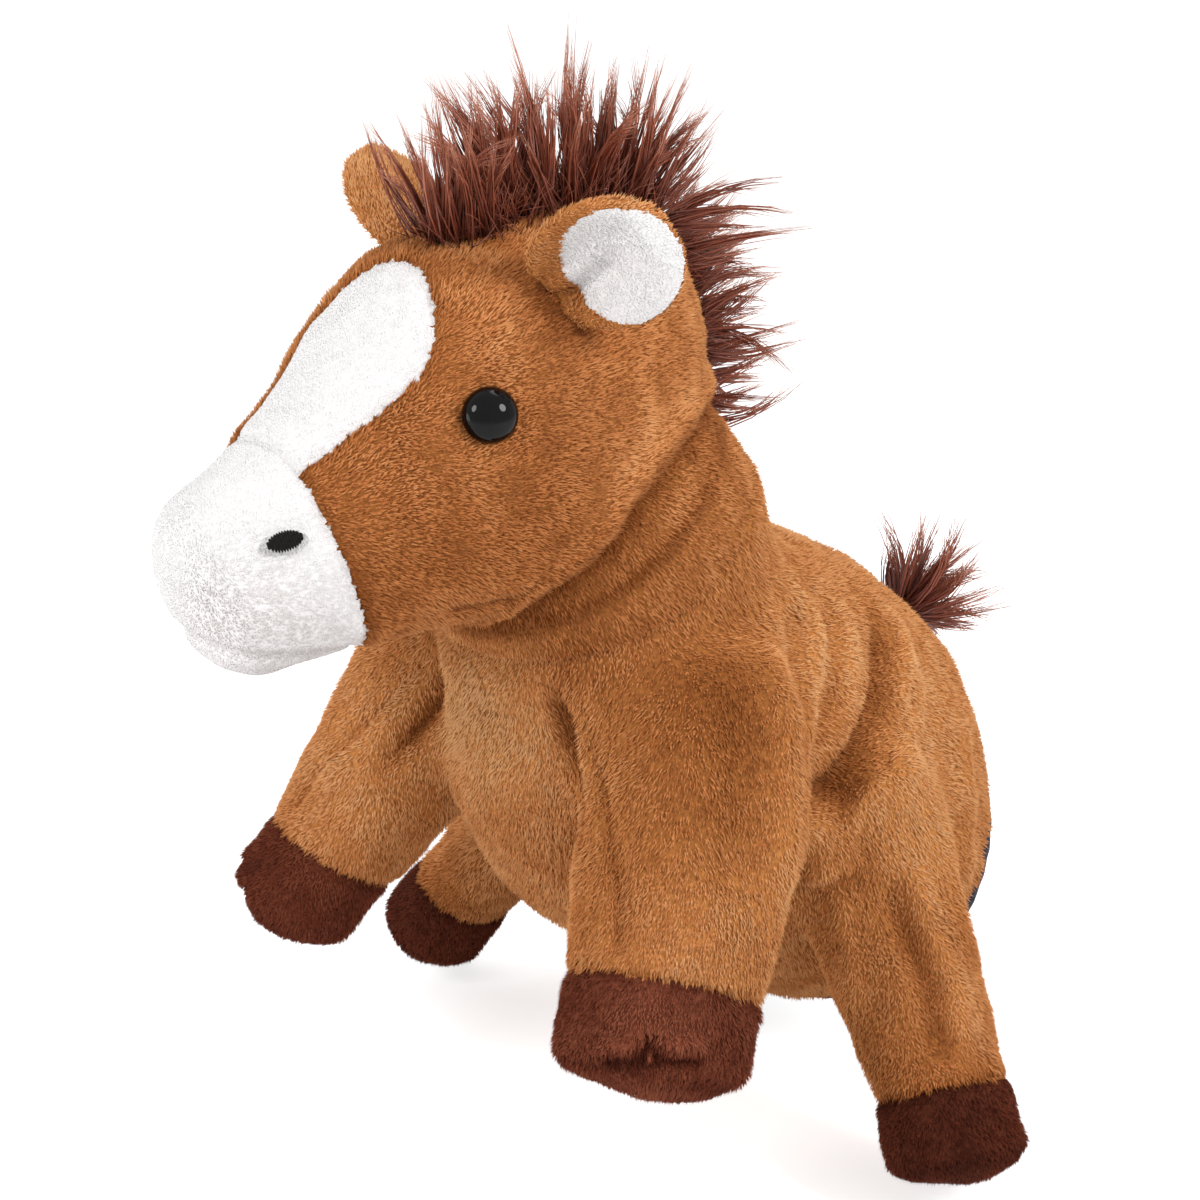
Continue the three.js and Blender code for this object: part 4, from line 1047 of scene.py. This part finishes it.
def shapeHead():
    points, quads = felted([headForm.grid(110, 100)], head["mesh"])
    points = relaxed(points, edgesOf(quads), 0.5, head["settle"])
    points, shade = folded(points, quads, headFolds)
    normal = normalsOf(points, quads)
    points = wavy(points, normal, head["waves"])
    for side, _ in sides:
        for place in (eye, nostril):
            seat, _ = seatOf(headForm, place)
            far = lengthOf(points - seat * np.array([side, 1, 1]))
            points = points - (place["sink"] * bell(far, place["hollow"]))[:, None] * normal
    # the seams: muzzle, blaze, parting, jaw and mouth
    muzzle, blaze, jaw = muzzleField(points), blazeField(points), jawField(points)
    points, shade = groove(points, shade, quads, muzzle, *head["muzzleSeam"])
    points, shade = groove(points, shade, quads, np.where(muzzle < 0, blaze, 99), *head["blazeSeam"])
    parting = points[:, 0] - partingShift(0) * smooth(150, 180, points[:, 2])
    upper = (blaze < 0) & (muzzle < 0) & (points[:, 2] > 120)
    points, shade = groove(points, shade, quads, np.where(upper, parting, 99), *head["blazeSeam"])
    points, shade = groove(points, shade, quads, np.where(muzzle < 0, jaw, 99), *head["jawSeam"])
    mouth = np.where(muzzle > 0, chinField(points), 99)
    points, shade = groove(points, shade, quads, mouth, *head["mouthSeam"])
    points = snapped(points, pastBall, 0.6)
    far = lengthOf(points[quads].mean(1) - neckCentre)
    kept = far > neck["radius"] + neck["clearance"]
    # the head's cloth rolls over the collar: it dips under it at the rim and bulges just past it
    past = pastBall(points)
    roll = head["roll"] * bell(past - 3.2, 2.2) - head["tuck"] * (1 - smooth(-0.6, 1.6, past))
    points = points + np.where(past > -3, roll, 0)[:, None] * unit(points - neckCentre)
    # painted shade along the rim, where the head overhangs the collar, and a painted highlight a little past
    # it
    shade = shade - 0.45 * bell(past, 2.2) + 0.14 * bell(past - 6, 3)
    for field in (muzzleField, blazeField):
        points = snapped(points, field, 0.55)
    return points, quads, shade, kept


def buildHead():
    points, quads, shade, kept = shapeHead()
    flow, _ = headForm.nap(points)
    nap = unit(-flow + np.array([0, 0, -0.35])) @ headTurn.T
    middle = points[quads].mean(1)
    muzzle, chin = muzzleField(middle) > 0, chinField(middle) > 0
    blaze = ~muzzle & (blazeField(middle) > 0)
    jaw = ~muzzle & ~blaze & (jawField(middle) > 0)
    face, left = ~muzzle & ~blaze & ~jaw, middle[:, 0] > 0
    white, tan = dict(cloth="white", length=0.36, lean=0.35), dict(cloth="tan", length=0.95, lean=1.0)
    panels = {
        "muzzle_upper": (muzzle & ~chin, white), "chin": (muzzle & chin, white), "blaze": (blaze, white),
        "jaw_gusset": (jaw, tan), "face_left": (face & left, tan), "face_right": (face & ~left, tan)}
    points = toFrame(points)
    for node, (mask, look) in panels.items():
        addPanel(node, points, quads[kept & mask], nap, follow=rides("head"), density=1.25,
                 fill=head["fill"], shade=shade, **look)
    wad = innerGrid(headForm, "head")
    addFilling("head_stuffing", toFrame(wad.reshape(-1, 3)).reshape(wad.shape), rides("head"))
    print("head made:", len(points), "points")


buildNeck()
buildHead()


# Finger pocket sewn into the head's filling: a round sock, closed at its far end
pocket = dict(radius=12, depth=32, rise=20, wall=0.6, dome=0.28, gathers=5)


def buildPocket():
    rise = math.radians(pocket["rise"])
    axis = np.array([0, -math.cos(rise), math.sin(rise)])
    up = np.cross(leftward, axis)
    start = neckCentre + axis * (neck["radius"] + pocket["wall"])
    share = np.linspace(0, 1, 26)[:, None, None]
    turn = ringTurn(40)
    straight = 1 - pocket["dome"]
    closing = np.where(share > straight,
                       np.sqrt(np.clip(1 - ((share - straight) / pocket["dome"]) ** 2, 0, 1)), 1)
    radius = (pocket["radius"] - pocket["wall"]) * np.maximum(closing, 0.02)
    radius = radius * (1 + 0.02 * np.sin(pocket["gathers"] * turn))
    spokes = np.cos(turn) * leftward + np.sin(turn) * up
    grid = start + axis * share * (pocket["depth"] - 1) + spokes * radius
    addLining("finger_pocket", toFrame(grid.reshape(-1, 3)).reshape(grid.shape)[:, ::-1], rides("head"), -1.0)
    print("finger pocket made")


buildPocket()


# Eyes and nostrils
def seatFrame(place, side, roll=0.0):
    # the seat's point and normal with two directions square to it, on the given side of the head
    point, normal = seatOf(headForm, place)
    first = unit(np.cross([0, 0, 1.0], normal))
    second = np.cross(normal, first)
    angle = math.radians(roll)
    u = first * math.cos(angle) + second * math.sin(angle)
    turn = np.array([side, 1, 1])
    return tuple(row * turn for row in (point, normal, u, np.cross(normal, u)))


def turnedProfile(profile, point, normal, u, v, columns=64):
    # a profile of radius and height carried round the seat's normal
    turn = ringTurn(columns)
    radius, height = profile[:, 0][:, None, None], profile[:, 1][:, None, None]
    return point + normal * height + (np.cos(turn) * u + np.sin(turn) * v) * radius


def buildEyes():
    # a dome on a stem that ends inside the head, where the washer holds it
    radius, height = eye["diameter"] / 2, eye["height"]
    bulge = np.radians(np.linspace(0, 90, 22))
    dome = np.stack([radius * np.cos(bulge), height * np.sin(bulge) ** 0.92], 1)
    tip, thin, deep, under = (eye[key] for key in ("tip", "stemRadius", "stemDepth", "flangeDepth"))
    dome[-1, 0] = tip
    stem = np.array([[tip, -deep], [thin, -deep], [thin, -under], [radius * 0.93, -under], [radius, -0.5]])
    for side, name in sides:
        point, normal, u, v = seatFrame(eye, side)
        grid = turnedProfile(np.vstack([stem, dome]), point - normal * 0.4, normal, u, v)[:, ::side]
        points, triangles = closedTube(grid)
        piece = newPiece(f"eye_{name}_dome", toFrame(points), triangles, eyeGloss)
        dress(piece, f"eye_{name}", rides("head"))
        washer = bpy.data.objects.get(f"eye_washer_{name}")
        if washer:
            washer.data.materials.clear()
            washer.data.materials.append(washerNylon)
    print("eyes made")


def buildNostrils():
    # satin stitches laid side by side over a low pad, each a bowed thread as long as the oval is wide there
    length, width, threads = nostril["length"], nostril["width"], nostril["threads"]
    place = np.linspace(-0.92, 0.92, threads)[:, None, None, None]
    share = np.linspace(-1, 1, 9)[None, :, None, None]
    turn = np.radians(np.arange(0, 360, 60))[None, None, :, None]
    half = width / 2 * np.sqrt(1 - place ** 2)
    bow = (1 - 0.5 * place ** 2) * np.sqrt(np.maximum(0.0, 1 - share ** 2 * 0.96))
    height = nostril["height"] * bow + nostril["pad"]
    thin = length / threads * nostril["threadShare"] * np.sqrt(np.maximum(0.05, 1 - np.abs(share) ** 6))
    for side, name in sides:
        point, normal, u, v = seatFrame(nostril, side, nostril["slant"])
        centre = point + u * (place * length / 2) + v * (share * half) + normal * height
        grid = (centre + u * (np.cos(turn) * thin) + normal * (np.sin(turn) * thin))[:, :, ::-side]
        points, triangles = joined([closedTube(rings) for rings in grid])
        piece = newPiece(f"nostril_{name}_stitches", toFrame(points), triangles, stitchThread)
        dress(piece, f"nostril_{name}", rides("head"))
    print("nostrils made")


buildEyes()
buildNostrils()

# Ears: a cupped leaf with the white cloth inside and the tan cloth rolled over its rim
ear = dict(along=0.335, round=313, length=34.5, width=33, thickness=6.5, cup=5, rootDepth=0.5, lift=4.5,
           rim=0.12, roll=3.6, fold=2.6, pale=0.34, fill=0.4,
           # middle and half length, as shares of the ear, of the leaf's oval and of the white cloth's
           leaf=(0.47, 0.54), white=(0.58, 0.43),
           left=dict(direction=(0.78, 0.38, 0.5), facing=(0.55, -0.78, -0.28)),
           right=dict(direction=(0.74, 0.3, 0.61), facing=(0.6, -0.38, -0.68)))


def earGrid(side, rows=64, columns=96):
    # u runs from root to tip; the turn about the leaf's middle gives the place across and which face
    root = seatOf(headForm, ear)[0]
    outward = unit(side["direction"])
    facing = np.array(side["facing"], float)
    facing = unit(facing - outward * (facing @ outward))
    across = np.cross(facing, outward)
    root = root - outward * ear["rootDepth"] + facing * ear["lift"]
    u = np.linspace(0, 1, rows)[:, None, None]
    turn = ringTurn(columns)
    v, face = np.cos(turn), np.sin(turn)
    (leafAt, leafHalf), (whiteAt, whiteHalf) = ear["leaf"], ear["white"]
    leaf = np.sqrt(np.maximum(0.0, 1 - ((u - leafAt) / leafHalf) ** 2))
    width = ear["width"] / 2 * leaf * (0.8 + 0.2 * u)
    bow = ear["cup"] * (np.sin(math.pi * np.minimum(1, u + 0.12)) * (1 - v * v) - 0.4 * u)
    plump = ear["thickness"] / 2 * np.sqrt(np.maximum(0.0, np.sin(math.pi * (0.02 + 0.975 * u))))
    # a soft fold runs up the inside from the root, below the middle
    crease = ear["fold"] * bell(v + 0.35 - 0.5 * u, 0.2) * (face > 0) * (1 - smooth(0.4, 0.7, u))
    depth = face * plump * (1.0 + 0.35 * np.maximum(0, face)) - crease
    # the upper edge rolls forward over the white cloth, and the lower one a little
    edge = smooth(0.25, 1.0, v) + 0.4 * smooth(0.4, 1.0, -v)
    roll = ear["roll"] * np.sin(math.pi * np.clip(u + 0.05, 0, 1)) ** 0.5 * edge
    grid = root + outward * (u * ear["length"]) + across * (v * width) + facing * (depth - bow + roll)
    # the white cloth is an oval that leaves a tan rim, broad at the root and along the upper edge
    oval = ((u - whiteAt) / whiteHalf) ** 2 + ((v * leaf + ear["rim"]) / (1.03 - ear["rim"])) ** 2
    return grid, ((face > 0.1) & (oval < 1))[..., 0] * 1.0, outward


def buildEars():
    for side, name in sides:
        grid, white, outward = earGrid(ear[name])
        points, quads, _ = capped(grid)
        # the faces are reversed where the placed leaf's volume would be below zero
        a, b, _, d = (points[quads[:, k]] for k in range(4))
        volume = dot(points[quads].mean(1) - points.mean(0), np.cross(b - a, d - a)).sum()
        outwards = quads if volume * side > 0 else quads[:, ::-1]
        inner = np.concatenate([white.ravel(), [0, 0]])[quads].mean(1) > 0.6
        turn = np.array([side, 1, 1])
        placed = toFrame(points * turn)
        nap = np.broadcast_to((outward * turn) @ headTurn.T, placed.shape)
        follow = rides(f"ear_{name}")
        addPanel(f"ear_inner_{name}", placed, outwards[inner], nap, "white", follow, density=1.6,
                 length=0.42, fill=ear["fill"], lean=0.5)
        # painted light: the ear's tan back is painted paler all over than the head's tan cloth, as if lit
        # more
        addPanel(f"ear_back_{name}", placed, outwards[~inner], nap, "tan", follow, density=1.3,
                 length=0.8, fill=ear["fill"], shade=np.full(len(placed), ear["pale"]))
    print("ears made")


buildEars()


# Mane and tail: craft hair in pointed locks, each lock a bunch of fine strands that meet at its tip
def addStrands(name, root, middle, tip, width, node, follow, rings=6):
    # each strand is a three-sided tube along a quadratic curve, tapering to a point
    count = len(root)
    s = np.linspace(0, 1, rings)[None, :, None]
    line = (1 - s) ** 2 * root[:, None] + 2 * s * (1 - s) * middle[:, None] + s * s * tip[:, None]
    ahead = unit(np.gradient(line, axis=1))
    side = unit(np.cross(ahead, unit(chance.normal(size=(count, 1, 3)))))
    over = np.cross(ahead, side)
    turn = np.radians([90, 210, 330])[None, None, :, None]
    thick = (width[:, None, None, None] / 2) * (1 - 0.93 * s[..., None] ** 1.6)
    points = line[:, :, None] + (np.cos(turn) * side[:, :, None] + np.sin(turn) * over[:, :, None]) * thick
    last = (rings - 1) * 3
    strand = np.vstack([halved(gridFaces(rings, 3)), [[2, 1, 0], [last, last + 1, last + 2]]])
    faces = repeated(strand, count, rings * 3)
    tone = np.repeat(np.clip(chance.normal(0.5, 0.25, count), 0, 1), rings * 3)
    along = np.tile(np.repeat(np.linspace(0, 1, rings), 3), count)
    piece = newPiece(name, points.reshape(-1, 3), faces, hair, dict(tone=tone, tip=along))
    dress(piece, node, follow)


mane = dict(alongFrom=0.375, alongTo=0.14, width=12, front=31, top=37, nape=27, crown=0.3, locks=190,
            strands=15, fuzz=1800, parting=3.0, lift=0.14, backLift=0.45, bend=0.27, sway=0.26,
            uneven=(0.72, 1.1), shortest=0.72, spreads=(1.4, 1.0, 0.55), strandWidth=(0.38, 0.6),
            fuzzLength=(7, 16), fuzzWidth=(0.25, 0.4), fuzzLean=0.55, fuzzSpreads=(1.2, 1.6), curl=0.26,
            rootDepth=1.2)
tail = dict(along=0.17, round=270, rootRadius=6, sink=1.5, length=31, locks=40, strands=15, spread=50,
            rise=-12, curl=0.3, uneven=(0.72, 1.12), shortest=0.7, spreads=(1.0, 1.1, 0.6),
            strandWidth=(0.4, 0.66))


def maneRoots(u, side):
    # a place on the parting over the crown and down the nape, spaced by its own length; out is square to it
    over = headForm.surface(np.linspace(mane["alongFrom"], 0.002, 120), np.full(120, 270.0))
    under = headForm.surface(np.linspace(0.002, mane["alongTo"], 60), np.full(60, 90.0))
    path = np.vstack([over, under])
    step = lengthOf(np.diff(path, axis=0))
    far = np.concatenate([[0], np.cumsum(step)])
    ahead = np.gradient(path, far + 1e-6 * np.arange(len(far)), axis=0)
    wide = np.ones(9) / 9
    ahead = np.stack([np.convolve(np.pad(ahead[:, k], 4, "edge"), wide, "valid") for k in range(3)], 1)
    place = u * far[-1]
    point = np.stack([np.interp(place, far, path[:, k]) for k in range(3)], 1)
    ahead = unit(np.stack([np.interp(place, far, ahead[:, k]) for k in range(3)], 1))
    out = np.cross(ahead, leftward)
    out = out * np.sign((out * (point - headForm.along(0.3)[:3])).sum(1, keepdims=True))
    shift = side + mane["parting"] * (1 - smooth(0.2, 0.6, u))
    return point + shift[:, None] * leftward - mane["rootDepth"] * out, out, ahead


def jitter(count, size):
    return chance.normal(0, size, (count, 3))


def buildMane():
    count, each, crown = mane["locks"], mane["strands"], mane["crown"]
    u = np.sort(chance.random(count))
    side = chance.normal(0, mane["width"] * 0.26, count)
    root, out, ahead = maneRoots(u, side)
    # long at the crown, shorter over the forehead and down the nape
    full = np.where(u < crown, mane["front"] + (mane["top"] - mane["front"]) * u / crown,
                    mane["top"] + (mane["nape"] - mane["top"]) * (u - crown) / (1 - crown))
    full = (full * chance.uniform(*mane["uneven"], count))[:, None]
    lean = chance.normal(0, mane["bend"], count) + side / 14
    # the forelock leans forward, and the nape's locks stand off the back
    sway = chance.normal(0, mane["sway"], count)
    sway = sway - mane["lift"] * (1 - smooth(0, 0.22, u)) - mane["backLift"] * smooth(0.72, 1, u)
    heading = unit(out + lean[:, None] * leftward + sway[:, None] * ahead)
    curl = jitter(count, mane["curl"]) * full
    tip = root + heading * full + 0.35 * curl
    middle = root + heading * (0.5 * full) - 0.25 * curl
    many = count * each
    atRoot, atMiddle, atTip = mane["spreads"]
    roots = np.repeat(root, each, 0) + jitter(many, atRoot)
    middles = np.repeat(middle, each, 0) + jitter(many, atMiddle)
    short = chance.uniform(mane["shortest"], 1.0, (many, 1))
    tips = np.repeat(root, each, 0) + np.repeat(tip - root, each, 0) * short + jitter(many, atTip)
    # fuzz: fine short hairs that stand every way at the roots
    fuzzy = mane["fuzz"]
    u = np.sort(chance.random(fuzzy))
    fuzzRoots, out, _ = maneRoots(u, chance.normal(0, mane["width"] * 0.3, fuzzy))
    heading = unit(out + jitter(fuzzy, mane["fuzzLean"]))
    long = chance.uniform(*mane["fuzzLength"], (fuzzy, 1))
    atMiddle, atTip = mane["fuzzSpreads"]
    fuzzTips = fuzzRoots + heading * long + jitter(fuzzy, atTip)
    fuzzMiddles = fuzzRoots + heading * long * 0.5 + jitter(fuzzy, atMiddle)
    width = np.concatenate([chance.uniform(*mane["strandWidth"], many),
                            chance.uniform(*mane["fuzzWidth"], fuzzy)])
    ends = [toFrame(np.vstack(pair))
            for pair in ((roots, fuzzRoots), (middles, fuzzMiddles), (tips, fuzzTips))]
    addStrands("mane_hair", *ends, width, "mane", rides("head"))
    print("mane made")


def buildTail():
    seat, normal = seatOf(bodyForm, tail)
    root = seat + normal * (tail["rootRadius"] - tail["sink"]) * 0.5
    rise = math.radians(tail["rise"])
    heading = normal * math.cos(rise) + np.cross(leftward, normal) * math.sin(rise)
    over = np.cross(heading, leftward)
    # locks spread evenly over a cap, each turned by the golden angle from the one before
    count, each = tail["locks"], tail["strands"]
    spread = np.radians(tail["spread"]) * np.sqrt((np.arange(count) + 0.5) / count)
    turn = np.radians(137.508) * np.arange(count) + chance.normal(0, 0.3, count)
    aside = leftward * np.cos(turn)[:, None] + over * np.sin(turn)[:, None]
    lock = heading * np.cos(spread)[:, None] + aside * np.sin(spread)[:, None]
    full = tail["length"] * chance.uniform(*tail["uneven"], count)
    curl = jitter(count, tail["curl"]) * full[:, None]
    start = root + lock * 1.5
    tip = root + lock * (full + 1)[:, None] + 0.4 * curl
    middle = root + lock * (0.55 * full)[:, None] - 0.2 * curl
    many = count * each
    atRoot, atMiddle, atTip = tail["spreads"]
    short = chance.uniform(tail["shortest"], 1.0, (many, 1))
    roots = np.repeat(start, each, 0) + jitter(many, atRoot)
    tips = roots + np.repeat(tip - start, each, 0) * short + jitter(many, atTip)
    middles = np.repeat(middle, each, 0) + jitter(many, atMiddle)
    width = chance.uniform(*tail["strandWidth"], many)
    addStrands("tail_hair", roots, middles, tips, width, "tail_tuft", rides("tail"))
    print("tail made")


buildMane()
buildTail()

# Floor and light: each lamp's name, watts, size and place in metres
studio = dict(
    floorDrop=3.0, floorSize=6000, world=0.55, glow=0.6,
    lamps=[("key", 4.65, 0.36, (-0.05, -1.0, 0.66)), ("low", 3.0, 0.6, (-0.55, -0.95, -0.02)),
           ("fill", 7.05, 0.4, (1.0, 0.1, 0.7)), ("top", 2.8, 0.6, (0.1, 0.3, 1.0))])


def areaLight(name, energy, size, place):
    data = bpy.data.lights.new(name, "AREA")
    data.shape, data.size, data.energy = "DISK", size, energy
    heading = unit(np.array(place) - np.array(view["target"]) * mm)
    right = unit(np.cross([0, 0, 1.0], heading))
    placeAt(newObject(name, data), right, np.cross(heading, right), heading, place)


def shownRays(tree):
    # 1 for rays that the camera, a reflection or glass sees, 0 for the light that falls on the horse
    rays = add(tree, "LightPath").outputs
    shown = rays["Is Camera Ray"]
    for kind in ("Is Glossy Ray", "Is Transmission Ray"):
        shown = add(tree, "Math", {0: shown, 1: rays[kind]}, operation="MAXIMUM").outputs["Value"]
    return shown


def buildStudio():
    low = cadBox[0][2] / mm - studio["floorDrop"]
    half = studio["floorSize"] / 2
    corners = np.array([[-half, -half, low], [half, -half, low], [half, half, low], [-half, half, low]])
    material, tree = newMaterial("pale_paper_floor")
    _, colour = grainOf(tree, 2.5, [(0.0, "#f3f3f3"), (1.0, "#fbfbfb")])
    glow = add(tree, "Math", {0: shownRays(tree), 1: studio["glow"]}, operation="MULTIPLY")
    finished(material, add(tree, "BsdfPrincipled", {
        "Base Color": colour.outputs["Color"], "Roughness": 0.9, "Emission Color": linear("#ffffff"),
        "Emission Strength": glow.outputs["Value"]}))
    newPiece("floor", corners, np.array([[0, 1, 2, 3]]), material, polish=False)
    world = bpy.data.worlds.new("studio")
    scene.world = world
    world.use_nodes = True
    tree = world.node_tree
    tree.nodes.clear()
    strength = add(tree, "Mix", {0: shownRays(tree), 2: studio["world"], 3: 1.0})
    light = add(tree, "Background", {"Color": linear("#ffffff"), "Strength": strength.outputs[0]})
    add(tree, "OutputWorld", {"Surface": light.outputs["Background"]})
    for lamp in studio["lamps"]:
        areaLight(*lamp)


buildStudio()
